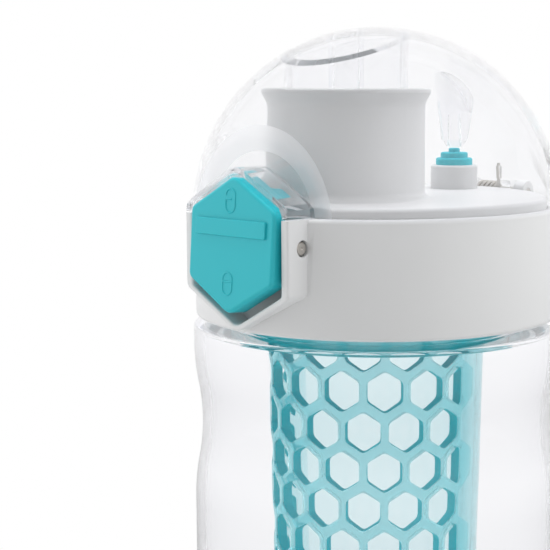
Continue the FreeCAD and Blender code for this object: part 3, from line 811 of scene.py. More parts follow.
@dataclass(frozen=True)
class SatinPlastic:
    """Opaque moulded plastic or silicone with a fine grain.

    Attributes:
        slot: Material slot of the record.
        colour: Main colour.
        drift: Colour that it drifts to.
        grain: Grain of its surface.
        gloss: Level of its mirror reflection.
        index: Refractive index.
    """

    slot: str
    colour: Colour
    drift: Colour
    grain: Grain
    gloss: float = 0.5
    index: float = 1.48

    def make(self, groups: SurfaceGroups) -> bpy.types.Material:
        """Build the material.

        Args:
            groups: Shared shader effects.

        Returns:
            The material.
        """
        material, sheet = blank_material(self.slot)
        grain, normal = self.grain.lay(sheet, groups)
        tone = sheet.add("ShaderNodeMix", {"data_type": "RGBA"}, Factor=grain["Drift"])
        sheet.feed(tone.inputs[6], self.colour)
        sheet.feed(tone.inputs[7], self.drift)
        plastic = sheet.add(
            "ShaderNodeBsdfPrincipled", Base_Color=tone.outputs[2], Roughness=grain["Roughness"],
            Normal=normal, IOR=self.index, Specular_IOR_Level=self.gloss,
        )
        sheet.add("ShaderNodeOutputMaterial", Surface=plastic.outputs[0])
        return material


@dataclass(frozen=True)
class TurnedSteel:
    """Stainless wire and pins with fine drawing marks."""

    slot: str = "steel"
    colour: Colour = (0.6, 0.57, 0.53)
    grain: Grain = Grain(scale=5200.0, roughness=0.28, spread=0.2, relief=0.25, depth=0.04)

    def make(self, groups: SurfaceGroups) -> bpy.types.Material:
        """Build the material.

        Args:
            groups: Shared shader effects.

        Returns:
            The material.
        """
        material, sheet = blank_material(self.slot)
        grain, normal = self.grain.lay(sheet, groups)
        steel = sheet.add(
            "ShaderNodeBsdfPrincipled", Base_Color=self.colour, Metallic=1.0, Roughness=grain["Roughness"],
            Normal=normal,
        )
        sheet.add("ShaderNodeOutputMaterial", Surface=steel.outputs[0])
        return material


class Finishes:
    """All materials of the bottle."""

    def __init__(self) -> None:
        """Build every material once."""
        groups = SurfaceGroups()
        kinds = (
            ClearPlastic(
                slot="bottle_clear", keeps=(0.42, 0.45, 0.72), density=16.0, clear=0.015, smeared=0.05,
                index=1.25, lamp_tint=(0.97, 0.975, 0.985), coat=0.6, leak=0.75,
            ),
            # The lid's marked faces take a pale diffuse veil: painted light that stands in for the bright
            # surroundings that the clear scoop bevel refracts and mirrors.
            MarkedPlastic(
                slot="lid_clear", keeps=(0.55, 0.57, 0.7), density=24.0, clear=0.012, smeared=0.05,
                index=1.25, lamp_tint=(0.98, 0.98, 0.99), coat=1.0, leak=0.65,
                full=(0.9, 0.91, 0.94), cover=0.22, full_roughness=0.45,
            ),
            MarkedPlastic(
                slot="basket_teal", keeps=(0.0, 0.62, 0.69), density=215.0, clear=0.04, smeared=0.1,
                index=1.25, lamp_tint=(0.6, 0.84, 0.87), coat=0.15, leak=0.7,
                full=(0.0, 0.57, 0.64), cover=0.95, full_roughness=0.5,
            ),
            ClearPlastic(
                slot="silicone_clear", keeps=(0.7, 0.74, 0.78), density=60.0, clear=0.25, smeared=0.4,
                index=1.15, lamp_tint=(0.86, 0.88, 0.9), coat=0.2, leak=0.8,
            ),
            SatinPlastic(
                slot="cap_white", colour=(0.66, 0.665, 0.665), drift=(0.64, 0.645, 0.65),
                grain=Grain(scale=2600.0, roughness=0.38, spread=0.08, relief=0.12),
            ),
            SatinPlastic(
                slot="button_teal", colour=(0.014, 0.44, 0.5), drift=(0.012, 0.42, 0.48),
                grain=Grain(scale=3000.0, roughness=0.4, spread=0.1, relief=0.2),
            ),
            SatinPlastic(
                slot="silicone_teal", colour=(0.03, 0.5, 0.58), drift=(0.025, 0.46, 0.54),
                grain=Grain(scale=1800.0, roughness=0.5, spread=0.1, relief=0.15), gloss=0.3,
            ),
            TurnedSteel(),
        )
        self.materials = {kind.slot: kind.make(groups) for kind in kinds}

    def dress(self, piece: bpy.types.Object, slot: str) -> None:
        """Give a piece its finish, in place of any that it has."""
        piece.data.materials.clear()
        piece.data.materials.append(self.materials[slot])

    def settle(self, piece: bpy.types.Object, slot: str, body: Body, *nodes: str) -> bpy.types.Object:
        """Dress a new piece and set it on its body.

        Args:
            piece: The piece.
            slot: Material slot of the record.
            body: Body that it rides on.
            nodes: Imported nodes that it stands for.

        Returns:
            The piece.
        """
        self.dress(piece, slot)
        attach(piece, body.value)
        if nodes:
            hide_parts(*nodes)
        log.info("%s rides on %s", piece.name, body.value)
        return piece

    def carry_over(self, node: str, slot: str) -> None:
        """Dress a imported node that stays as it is."""
        self.dress(frame["nodes"][node], slot)
        log.info("%s is kept", node)


@dataclass
class BottleBody:
    """Clear bottle with its waist, shoulder and threaded neck."""

    layout: Layout
    wall: float = 2.0
    collar_gap: float = 1.7
    plate: float = 1.0
    shoulder_round: float = 0.6
    shoulder_inner_round: float = 0.3
    base_round: float = 6.0
    base_rise: float = 3.0
    base_slope: float = 6.0
    standing_ring: float = 4.0
    waist_top_gap: float = 4.0
    waist_half_height: float = 16.0
    waist_depth: float = 1.55
    shoulder_width: float = 7.0
    neck_wall: float = 2.4
    neck_root_round: float = 1.2
    rim_round: float = 0.5
    thread_pitch: float = 4.0
    thread_height: float = 1.0
    thread_width: float = 1.7
    thread_turns: float = 1.75
    thread_low: float = 5.6
    thread_step: float = 0.3
    thread_fade: float = 25.0
    thread_flank: float = 2.2
    segments: int = 192

    def waist(self, radius: float) -> list[Corner]:
        """Corners of the drawn-in waist on a wall of the given radius, from the lower end up.

        Args:
            radius: Radius of the wall.

        Returns:
            Corners as (radius, height, rounding).
        """
        turn = 2 * math.atan(self.waist_depth / self.waist_half_height)
        bend = (self.waist_half_height**2 + self.waist_depth**2) / (4 * self.waist_depth)
        run = self.waist_half_height - bend * math.tan(turn / 2)
        middle = self.shoulder_z - self.waist_top_gap - self.waist_half_height
        drawn = radius - run * math.tan(turn)
        return [(radius, middle - run, bend), (drawn, middle, bend), (radius, middle + run, bend)]

    @property
    def shoulder_z(self) -> float:
        """Height of the flat shoulder."""
        return self.layout.collar_z - self.collar_gap

    @property
    def neck_radius(self) -> float:
        """Outer radius of the neck."""
        return self.layout.body_radius - self.shoulder_width

    def profile(self) -> list[Point]:
        """Section of the wall, from the axis under the base to the axis inside it.

        Returns:
            Points as (radius, height).
        """
        radius, rim, shoulder = self.layout.body_radius, self.layout.rim_z, self.shoulder_z
        inside, bore = radius - self.wall, self.neck_radius - self.neck_wall
        ring = radius - self.base_round - self.standing_ring
        dish = ring - self.base_slope
        neck_low, neck_high = shoulder + 2 * self.neck_root_round, rim - 2 * self.rim_round
        count = int((neck_high - neck_low) / self.thread_step)
        steps = [neck_low + (neck_high - neck_low) * index / count for index in range(count + 1)]
        return rounded([
            (0, self.base_rise, 0),
            (dish, self.base_rise, self.wall),
            (ring, 0, self.wall),
            (radius, 0, self.base_round),
            *self.waist(radius),
            (radius, shoulder, self.shoulder_round),
            (self.neck_radius, shoulder, self.neck_root_round),
            *[(self.neck_radius, step, 0) for step in steps],
            (self.neck_radius, rim, self.rim_round),
            (bore, rim, self.rim_round),
            (bore, shoulder - self.plate, self.plate / 2),
            (inside, shoulder - self.plate, self.shoulder_inner_round),
            *reversed(self.waist(inside)),
            (inside, self.wall, self.base_round - self.wall),
            (ring, self.wall, self.wall),
            (dish, self.base_rise + self.wall, self.wall),
            (0, self.base_rise + self.wall, 0),
        ])

    def threaded(self, spot: Vector) -> Spot:
        """Raise the thread on points of the neck's outside.

        Args:
            spot: Point in millimetres.

        Returns:
            The point, raised where the thread runs.
        """
        radius = math.hypot(spot.x, spot.y)
        if abs(radius - self.neck_radius) > self.thread_step / 10:
            return tuple(spot)
        azimuth = math.degrees(math.atan2(spot.x, -spot.y)) % 360
        raised = 0.0
        for turn in range(math.ceil(self.thread_turns)):
            travel = azimuth + 360 * turn
            middle = self.shoulder_z + self.thread_low + self.thread_pitch * travel / 360
            off = abs(spot.z - middle) / (self.thread_width / 2)
            end = min(travel, 360 * self.thread_turns - travel) / self.thread_fade
            raised = max(raised, held(self.thread_flank * (1 - off)) * held(end))
        share = 1 + raised * self.thread_height / radius
        return (spot.x * share, spot.y * share, spot.z)

    def build(self, finishes: Finishes) -> None:
        """Make the bottle."""
        form = Form().turned(self.profile(), self.segments).moved(self.threaded)
        finishes.settle(form.piece("bottle_shell"), "bottle_clear", Body.BOTTLE, "bottle_body")


@dataclass
class InfuserBasket:
    """Tinted basket with a honeycomb front, a plain back, and the hanger that rests on the neck."""

    layout: Layout
    hanger_radius: float = 27.2
    hanger_wall: float = 1.4
    hanger_web: float = 1.8
    web_gap: float = 1.2
    hanger_round: float = 0.5
    lip_drop: float = 3.0
    lip_haze: float = 0.7
    lip_width: float = 1.5
    flange_radius: float = 30.0
    top_radius: float = 22.0
    bottom_radius: float = 19.6
    wall: float = 2.3
    back_wall: float = 1.3
    floor: float = 2.0
    floor_round: float = 1.6
    columns: int = 16
    row_pitch: float = 7.9
    rows: int = 14
    upright_rib: float = 1.5
    slant_rib: float = 2.0
    first_drop: float = 3.2
    top_band: float = 0.8
    ring_drop: float = 0.3
    foot_rise: float = 4.0
    azimuth: float = 2.0
    strip_width: float = 4.2
    strip_azimuth: float = 98.0
    edge: float = 0.3
    rib_haze: float = 0.3
    edge_points: int = 6
    patch_shares: tuple[float, ...] = (0.75, 0.5, 0.25, 0.0)
    drain_radius: float = 2.2
    drain_ring: float = 8.0
    drain_count: int = 6
    drain_segments: int = 32
    thinning: float = 3.0
    sharp: float = 40.0
    weld: float = 0.004

    @property
    def web_z(self) -> float:
        """Height of the hanger web's underside."""
        return self.layout.collar_z - self.web_gap

    def radius_at(self, height: float) -> float:
        """Outer radius of the tapered wall."""
        share = (height - self.layout.basket_low) / (self.web_z - self.layout.basket_low)
        return self.bottom_radius + (self.top_radius - self.bottom_radius) * share

    def on_wall(self, azimuth: float, height: float, depth: float) -> Spot:
        """Point under the wall's outer face."""
        return around(self.radius_at(height) - depth, azimuth, height)

    def cell_outline(self, height: float) -> list[Point]:
        """Border of one cell as (azimuth offset, height), clockwise from the top.

        Args:
            height: Height of the cell.

        Returns:
            The border's points.
        """
        half, third = 180 / self.columns, self.row_pitch / 3
        corners = [
            (0, 2 * third), (half, third), (half, -third), (0, -2 * third), (-half, -third), (-half, third),
        ]
        points = []
        for index, start in enumerate(corners):
            end = corners[(index + 1) % len(corners)]
            for k in range(self.edge_points):
                share = k / self.edge_points
                across = start[0] + (end[0] - start[0]) * share
                points.append((across, height + start[1] + (end[1] - start[1]) * share))
        return points

    def hole_corners(self, height: float) -> list[Point]:
        """Corners of one hole as (millimetres across, height), clockwise from the top.

        Args:
            height: Height of the cell.

        Returns:
            The six corners.
        """
        pitch = 2 * math.pi * self.radius_at(height) / self.columns
        slope = 2 * self.row_pitch / (3 * pitch)
        half_width = (pitch - self.upright_rib) / 2
        half_height = 2 * self.row_pitch / 3 - self.slant_rib / 2 * math.hypot(1, slope)
        side = half_height - half_width * slope
        return [
            (0, height + half_height), (half_width, height + side), (half_width, height - side),
            (0, height - half_height), (-half_width, height - side), (-half_width, height + side),
        ]

    @staticmethod
    def clipped(outline: Sequence[Point], normal: Point, limit: float) -> list[Point]:
        """Part of a convex outline whose points p have p . normal <= limit.

        Args:
            outline: Convex outline.
            normal: Direction of the cut.
            limit: Place of the cut along it.

        Returns:
            The part that is left.
        """
        kept: list[Point] = []
        for index, end in enumerate(outline):
            start = outline[index - 1]
            before = start[0] * normal[0] + start[1] * normal[1] - limit
            after = end[0] * normal[0] + end[1] * normal[1] - limit
            if before * after < 0:
                kept.append(along(start, end, math.dist(start, end) * before / (before - after)))
            if after <= 0:
                kept.append(end)
        return kept

    @staticmethod
    def cast(outline: Sequence[Point], middle: Point, towards: Point) -> Point:
        """Where a ray from the middle of a convex outline meets it.

        Args:
            outline: Convex outline.
            middle: Point inside it.
            towards: Point that the ray goes through.

        Returns:
            The point on the outline.
        """
        ahead = (towards[0] - middle[0], towards[1] - middle[1])
        for index, end in enumerate(outline):
            start = outline[index - 1]
            side = (end[0] - start[0], end[1] - start[1])
            cross = ahead[0] * side[1] - ahead[1] * side[0]
            if abs(cross) < TINY:
                continue
            gap = (start[0] - middle[0], start[1] - middle[1])
            reach = (gap[0] * side[1] - gap[1] * side[0]) / cross
            share = (gap[0] * ahead[1] - gap[1] * ahead[0]) / cross
            if reach > 0 and -TINY <= share <= 1 + TINY:
                return (middle[0] + ahead[0] * reach, middle[1] + ahead[1] * reach)
        return middle

    def hole_outline(self, azimuth: float, height: float, border: Sequence[Point]) -> list[Point]:
        """Rim of one hole with a point for each point of the cell's border.

        Args:
            azimuth: Azimuth of the cell.
            height: Height of the cell.
            border: Border of the cell as (azimuth offset, height).

        Returns:
            Points as (millimetres across, height).
        """
        radius = self.radius_at(height)
        whole = self.hole_corners(height)
        off = (azimuth - self.strip_azimuth + 90) % 180 - 90
        edge = math.radians(abs(off)) * radius - self.strip_width / 2
        corners = self.clipped(whole, (0, 1), self.web_z - self.top_band)
        corners = self.clipped(corners, (-1, 0) if off > 0 else (1, 0), edge)
        points = []
        if corners == whole:
            for index, start in enumerate(corners):
                end = corners[(index + 1) % len(corners)]
                length = math.dist(start, end)
                points += [along(start, end, length * k / self.edge_points) for k in range(self.edge_points)]
        else:
            middle = (sum(p[0] for p in corners) / len(corners), sum(p[1] for p in corners) / len(corners))
            points += [self.cast(corners, middle, (math.radians(p[0]) * radius, p[1])) for p in border]
        softened = []
        for index, (across, up) in enumerate(points):
            before, after = points[index - 1], points[(index + 1) % len(points)]
            softened.append(((before[0] + 2 * across + after[0]) / 4, (before[1] + 2 * up + after[1]) / 4))
        return softened

    @staticmethod
    def grown(outline: Sequence[Point], distance: float) -> list[Point]:
        """Closed clockwise outline moved outwards.

        Args:
            outline: Closed outline, clockwise.
            distance: How far it moves.

        Returns:
            The moved outline.
        """
        count = len(outline)
        moved = []
        for index, (across, up) in enumerate(outline):
            before, after = outline[index - 1], outline[(index + 1) % count]
            run, rise = after[0] - before[0], after[1] - before[1]
            length = max(math.hypot(run, rise), TINY)
            moved.append((across - rise / length * distance, up + run / length * distance))
        return moved

    def is_open(self, azimuth: float) -> bool:
        """Whether a cell at an azimuth lies in the honeycomb front."""
        return (azimuth - self.strip_azimuth) % 360 >= 180

    def depth_at(self, azimuth: float, height: float) -> float:
        """Thickness of the wall, which is less at the back between the strips.

        Args:
            azimuth: Azimuth of the place.
            height: Height of the place.

        Returns:
            The thickness.
        """
        half = math.degrees(self.strip_width / 2 / self.radius_at(height))
        off = (azimuth - self.strip_azimuth) % 360
        ramp = min(off - half, 180 - half - off) / self.thinning
        return self.wall - (self.wall - self.back_wall) * held(ramp)

    def cell(self, form: Form, azimuth: float, height: float, top: float) -> None:
        """One cell of the wall, with its hole where the wall is open.

        Args:
            form: Form to add to.
            azimuth: Azimuth of the cell.
            height: Height of the cell.
            top: Height that the border is held under.
        """
        border = [(offset, min(up, top)) for offset, up in self.cell_outline(height)]
        outer = form.ring(self.on_wall(azimuth + a, up, 0) for a, up in border)
        inner = form.ring(self.on_wall(azimuth + a, up, self.depth_at(azimuth + a, up)) for a, up in border)
        if not self.is_open(azimuth):
            middle = min(height, top)
            for ring, deep in ((outer, False), (inner, True)):
                for share in self.patch_shares:
                    spots = [(azimuth + a * share, middle + (up - middle) * share) for a, up in border]
                    smaller = [self.on_wall(a, up, self.depth_at(a, up) if deep else 0) for a, up in spots]
                    following = form.ring(smaller if share > 0 else smaller[:1])
                    form.band(ring, following)
                    ring = following
            return
        radius = self.radius_at(height)
        hole = self.hole_outline(azimuth, height, border)
        soft = self.edge * (1 - math.sqrt(0.5))
        wall = self.wall
        loops = [
            (self.edge, 0), (soft, soft), (0, self.edge), (0, wall / 2), (0, wall - self.edge),
            (soft, wall - soft), (self.edge, wall),
        ]
        rings = [outer]
        for growth, depth in loops:
            rim = self.grown(hole, growth)
            spots = [self.on_wall(azimuth + math.degrees(a / radius), up, depth) for a, up in rim]
            rings.append(form.ring(spots))
        rings.append(inner)
        marks = [self.rib_haze, self.rib_haze, self.rib_haze, 1.0, 1.0, 1.0, 0.0, 0.0]
        for first, second, mark in zip(rings, rings[1:], marks):
            form.band(first, second, mark)

    def edge_ring(self, form: Form, height: float, row: int, upper: bool, inner: bool, top: float) -> None:
        """Fill between the zigzag edge of an end row and a level ring.

        Args:
            form: Form to add to.
            height: Height of the level ring.
            row: Number of the end row.
            upper: Whether the row's upper edge is filled, and otherwise its lower edge.
            inner: Whether it is on the inside of the wall.
            top: Height that the row's border is held under.
        """
        step, count = 360 / self.columns, 2 * self.edge_points
        middle = self.row_height(row)
        zigzag, level = [], []
        for index in range(self.columns * count):
            azimuth = self.azimuth + step * index / count
            off = abs((azimuth - self.row_azimuth(row) + step / 2) % step - step / 2) / (step / 2)
            rise = self.row_pitch / 3 * (2 - off)
            up = min(middle + rise, top) if upper else middle - rise
            zigzag.append(self.on_wall(azimuth, up, self.depth_at(azimuth, up) if inner else 0))
            level.append(self.on_wall(azimuth, height, self.wall if inner else 0))
        form.band(form.ring(zigzag), form.ring(level))

    def row_height(self, row: int) -> float:
        """Height of the cells of a row."""
        return self.web_z - self.first_drop - row * self.row_pitch

    def row_azimuth(self, row: int) -> float:
        """Azimuth of the first cell of a row."""
        return self.azimuth + (180 / self.columns if row % 2 == 0 else 0)

    def hanger(self, inner_top: float) -> list[Point]:
        """Section of the hanger, from the wall's outside over the flange to its inside.

        Args:
            inner_top: Height at which the wall's inside meets the web.

        Returns:
            Points as (radius, height).
        """
        lip_radius, lip_z = self.hanger_radius - self.lip_width, self.web_z - self.lip_drop
        rim, top, web_top = self.layout.rim_z, self.layout.flange_top, self.web_z + self.hanger_web
        inner = self.hanger_radius - self.hanger_wall
        return rounded([
            (self.radius_at(self.web_z), self.web_z, 0),
            (lip_radius, self.web_z, 0),
            (lip_radius, lip_z, self.hanger_round),
            (self.hanger_radius, lip_z, self.hanger_round),
            (self.hanger_radius, rim, 0),
            (self.flange_radius, rim, 0),
            (self.flange_radius, top, self.hanger_round),
            (inner, top, self.hanger_round),
            (inner, web_top, self.hanger_round),
            (self.radius_at(web_top) - self.wall + self.hanger_round, web_top, 0),
            (self.radius_at(inner_top) - self.wall, inner_top, 0),
        ])

    def skin(self, form: Form, profile: Sequence[Point], lip_end: float = -math.inf) -> None:
        """Turn an open profile with the facets of the honeycomb.

        Args:
            form: Form to add to.
            profile: Points as (radius, height).
            lip_end: Height under which the faces show the lip's haze.
        """
        segments = 2 * self.edge_points * self.columns
        rings = []
        for radius, height in profile:
            count = segments if radius > 0 else 1
            spots = [around(radius, self.azimuth + 360 * k / segments, height) for k in range(count)]
            rings.append(form.ring(spots))
        for first, second in zip(rings, rings[1:]):
            in_lip = min(first[0].co.z, second[0].co.z) < lip_end
            form.band(first, second, self.lip_haze if in_lip else 0.0)

    def drains(self) -> list[Form]:
        """Cutters for the drains: one in the middle of the floor and a ring of others.

        Returns:
            One cutter for each drain.
        """
        under, over = self.layout.basket_low - self.floor, self.layout.basket_low + 2 * self.floor
        drill = [(0, under), (self.drain_radius, under), (self.drain_radius, over), (0, over)]
        spots = [(0.0, 0.0)]
        spots += [around(self.drain_ring, 360 * k / self.drain_count, 0)[:2] for k in range(self.drain_count)]
        cutters = []
        for x, y in spots:
            cutter = Form().turned(drill, self.drain_segments)
            cutters.append(cutter.moved(lambda spot, x=x, y=y: (spot.x + x, spot.y + y, spot.z)))
        return cutters

    def build(self, finishes: Finishes) -> None:
        """Make the basket.

        Args:
            finishes: Finishes of the bottle.
        """
        form = Form()
        low = self.layout.basket_low
        top, foot = self.web_z - self.ring_drop, low + self.foot_rise
        for row in range(self.rows):
            for column in range(self.columns):
                azimuth = self.row_azimuth(row) + column * 360 / self.columns
                self.cell(form, azimuth, self.row_height(row), top)
        inner_top = self.web_z + self.hanger_web - self.hanger_round
        for inner in (False, True):
            self.edge_ring(form, inner_top if inner else self.web_z, 0, True, inner, top)
            self.edge_ring(form, foot, self.rows - 1, False, inner, top)
        self.skin(form, self.hanger(inner_top), self.web_z - self.hanger_round)
        self.skin(form, rounded([
            (self.radius_at(foot), foot, 0),
            (self.bottom_radius, low, self.floor_round),
            (0, low, 0),
        ]))
        self.skin(form, rounded([
            (0, low + self.floor, 0),
            (self.bottom_radius - self.wall, low + self.floor, self.floor_round),
            (self.radius_at(foot) - self.wall, foot, 0),
        ]))
        basket = form.piece("honeycomb_basket", sharp=self.sharp, weld=self.weld)
        carve(basket, self.drains(), Carve.CUT, sharp=self.sharp)
        finishes.settle(basket, "basket_teal", Body.INFUSER, "infuser_basket")


@dataclass(frozen=True)
class LatchShape:
    """Upright hexagon that the housing, the hood and the button share."""

    layout: Layout
    button_half_width: float = 11.4
    button_half_height: float = 12.9
    button_side_half: float = 6.6
    side_gap: float = 0.6
    top_gap: float = 0.7
    bottom_gap: float = 2.4
    wall: float = 1.9
    roof: float = 1.2
    floor: float = 1.3
    front: float = 38.7
    outer_round: float = 1.5
    outer_peak: float = 3.6
    inner_round: float = 0.9
    inner_peak: float = 2.6
    button_proud: float = 1.2
    button_lean: float = 4.0
    bend: float = 8.0

    def face_y(self, height: float) -> float:
        """Place of the button's leaning face at a height."""
        lean = math.tan(math.radians(self.button_lean))
        return -self.front - self.button_proud + (height - self.layout.latch_z) * lean

    def outline(
        self, half_width: float, top: float, bottom: float, rounding: float, peak: float
    ) -> list[Point]:
        """Outline in X and Z.

        Args:
            half_width: Half of its width.
            top: Height of its peak over the latch centre.
            bottom: Depth of its foot under the latch centre.
            rounding: Rounding of the side corners.
            peak: Rounding of the peak and the foot.

        Returns:
            Points as (across, height).
        """
        slope = (self.button_half_height - self.button_side_half) / self.button_half_width
        shoulder, middle = half_width * slope, self.layout.latch_z
        return rounded([
            (0, middle + top, peak),
            (half_width, middle + top - shoulder, rounding),
            (half_width, middle - bottom + shoulder, rounding),
            (0, middle - bottom, peak),
            (-half_width, middle - bottom + shoulder, rounding),
            (-half_width, middle + top - shoulder, rounding),
        ], bend=self.bend)

    def housing(self, inset: float = 0.0) -> list[Point]:
        """Outside of the housing and the hood, drawn in by an inset.

        Args:
            inset: How far it is drawn in.

        Returns:
            Points as (across, height).
        """
        half = self.button_half_width + self.side_gap + self.wall - inset
        top = self.button_half_height + self.top_gap + self.roof - inset
        bottom = self.button_half_height + self.bottom_gap + self.floor - inset
        return self.outline(half, top, bottom, self.outer_round, self.outer_peak)

    def cavity(self, flare: float = 0.0) -> list[Point]:
        """Inside of the housing and the hood, widened by a flare.

        Args:
            flare: How far it is widened.

        Returns:
            Points as (across, height).
        """
        half = self.button_half_width + self.side_gap + flare
        top = self.button_half_height + self.top_gap + flare
        bottom = self.button_half_height + self.bottom_gap + flare
        return self.outline(half, top, bottom, self.inner_round, self.inner_peak)

    def nose(self, soft: float) -> list[list[Spot]]:
        """Outside of the front edge, rounded from the flank over to the face.

        Args:
            soft: Rounding of the edge.

        Returns:
            Loops from the flank to the face.
        """
        loops = []
        for turn in map(math.radians, EDGE_TURNS):
            place = -self.front + soft * (1 - math.sin(turn))
            loops.append(at_y(self.housing(soft * (1 - math.cos(turn))), place))
        return loops

    def mouth(self, soft: float) -> list[list[Spot]]:
        """Inside of the front edge, rounded from the face over to the cavity.

        Args:
            soft: Rounding of the edge.

        Returns:
            Loops from the face to the inside.
        """
        loops = []
        for turn in map(math.radians, EDGE_TURNS):
            place = -self.front + soft * (1 - math.cos(turn))
            loops.append(at_y(self.cavity(soft * (1 - math.sin(turn))), place))
        return loops


def evened(loop: Sequence[Spot], count: int) -> list[Spot]:
    """Loop spread over a number of points by its length, from its first point.

    Args:
        loop: Closed loop of points.
        count: Number of points.

    Returns:
        The spread points.
    """
    spots = [Vector(spot) for spot in loop] + [Vector(loop[0])]
    lengths = [0.0]
    for start, end in zip(spots, spots[1:]):
        lengths.append(lengths[-1] + (end - start).length)
    spread = []
    place = 0
    for index in range(count):
        target = lengths[-1] * index / count
        while lengths[place + 1] < target:
            place += 1
        span = lengths[place + 1] - lengths[place]
        share = (target - lengths[place]) / span if span else 0.0
        spread.append(tuple(spots[place].lerp(spots[place + 1], share)))
    return spread


def at_y(outline: Sequence[Point], y: float) -> list[Spot]:
    """Upright outline in X and Z, set at a place along Y."""
    return [(across, y, up) for across, up in outline]


def at_x(outline: Sequence[Point], x: float) -> list[Spot]:
    """Upright outline in Y and Z, set at a place along X."""
    return [(x, across, up) for across, up in outline]


def slab_x(outline: Sequence[Point], start: float, end: float) -> Form:
    """Outline in Y and Z run along X."""
    return Form().loft([at_x(outline, start), at_x(outline, end)])


def cross_bar(radius: float, start: float, end: float, y: float, z: float, sides: int = 48) -> Form:
    """Round bar along X."""
    circle = arc((y, z), radius, 0, 360 - 360 / sides, sides - 1)
    return slab_x(circle, start, end)


@dataclass
class CapShell:
    """White collar with the latch housing in front and the hinge ears behind."""

    layout: Layout
    latch: LatchShape
    radius: float = 36.5
    wall: float = 2.3
    edge_round: float = 0.8
    lip_round: float = 0.45
    barrel_radius: float = 2.8
    ear_inner: float = 7.8
    ear_outer: float = 10.8
    ear_depth: float = 9.5
    pad_front: float = 37.05
    pad_top: float = 3.6
    pad_height: float = 4.5
    pin_hole: float = 1.55
    hinge_hole: float = 1.25
    ear_steps: int = 30
    segments: int = 160

    @property
    def inner(self) -> float:
        """Inner radius of the collar."""
        return self.radius - self.wall

    def ring(self) -> Form:
        """Collar ring.

        Returns:
            The ring.
        """
        low, high = self.layout.collar_z, self.layout.seam_z
        return Form().turned(rounded([
            (self.inner, low, self.edge_round / 2),
            (self.radius, low, self.edge_round),
            (self.radius, high, self.edge_round),
            (self.inner, high, self.edge_round / 2),
        ]), self.segments)

    def housing(self) -> Form:
        """Housing block with a softened front edge, up to the seam.

        Returns:
            The block.
        """
        back = -math.sqrt(self.inner**2 - max(x for x, _ in self.latch.housing())**2)
        form = Form().loft([at_y(self.latch.housing(), back), *self.latch.nose(self.lip_round)])
        return form.moved(upside_down).above(-self.layout.seam_z).moved(upside_down)

    def cavity(self) -> Form:
        """Cutter for the button's cavity, flared at its mouth.

        Returns:
            The cutter.
        """
        soft = self.lip_round
        start = at_y(self.latch.cavity(soft), -self.latch.front - soft)
        end = at_y(self.latch.cavity(), -self.inner + 3 * self.wall)
        return Form().loft([start, *self.latch.mouth(soft), end])

    def ear(self, start: float) -> Form:
        """Hinge ear with its gusset.

        Args:
            start: Place of its left face.

        Returns:
            The ear.
        """
        y, z = self.layout.hinge_y, self.layout.hinge_z
        foot = self.layout.seam_z - self.ear_depth
        rise, run = z - foot, y - self.inner
        tangent = math.atan2(rise, run) - math.asin(self.barrel_radius / math.hypot(rise, run))
        first = math.degrees(tangent) - 90
        last = 180 + math.degrees(math.asin((z - self.layout.seam_z) / self.barrel_radius))
        outline = [(self.inner, foot), *arc((y, z), self.barrel_radius, first, last, self.ear_steps)]
        outline.append((self.inner, self.layout.seam_z))
        return slab_x(outline, start, start + self.ear_outer - self.ear_inner)

    def pad(self) -> Form:
        """Pad under the hinge spring's lower leg.

        Returns:
            The pad.
        """
        top = self.layout.seam_z - self.pad_top
        low = top - self.pad_height
        outline = [(self.inner, low), (self.pad_front, low), (self.pad_front, top), (self.inner, top)]
        return slab_x(outline, -self.ear_inner, self.ear_inner)

    def build(self, finishes: Finishes) -> None:
        """Make the collar with all that is moulded to it.

        Args:
            finishes: Finishes of the bottle.
        """
        shell = self.ring().piece("cap_collar")
        ears = [self.ear(self.ear_inner), self.ear(-self.ear_outer)]
        carve(shell, [self.housing(), *ears, self.pad()], Carve.JOIN)
        low, high = self.layout.collar_z - self.wall, self.layout.seam_z + self.wall
        bore = Form().turned([(0, low), (self.inner, low), (self.inner, high), (0, high)], self.segments)
        wide = self.radius
        pin = cross_bar(self.pin_hole, -wide, wide, self.layout.latch_y, self.layout.latch_z)
        hinge = cross_bar(self.hinge_hole, -wide, wide, self.layout.hinge_y, self.layout.hinge_z)
        carve(shell, [bore, self.cavity(), pin, hinge], Carve.CUT)
        finishes.settle(shell, "cap_white", Body.CAP, "cap_shell")


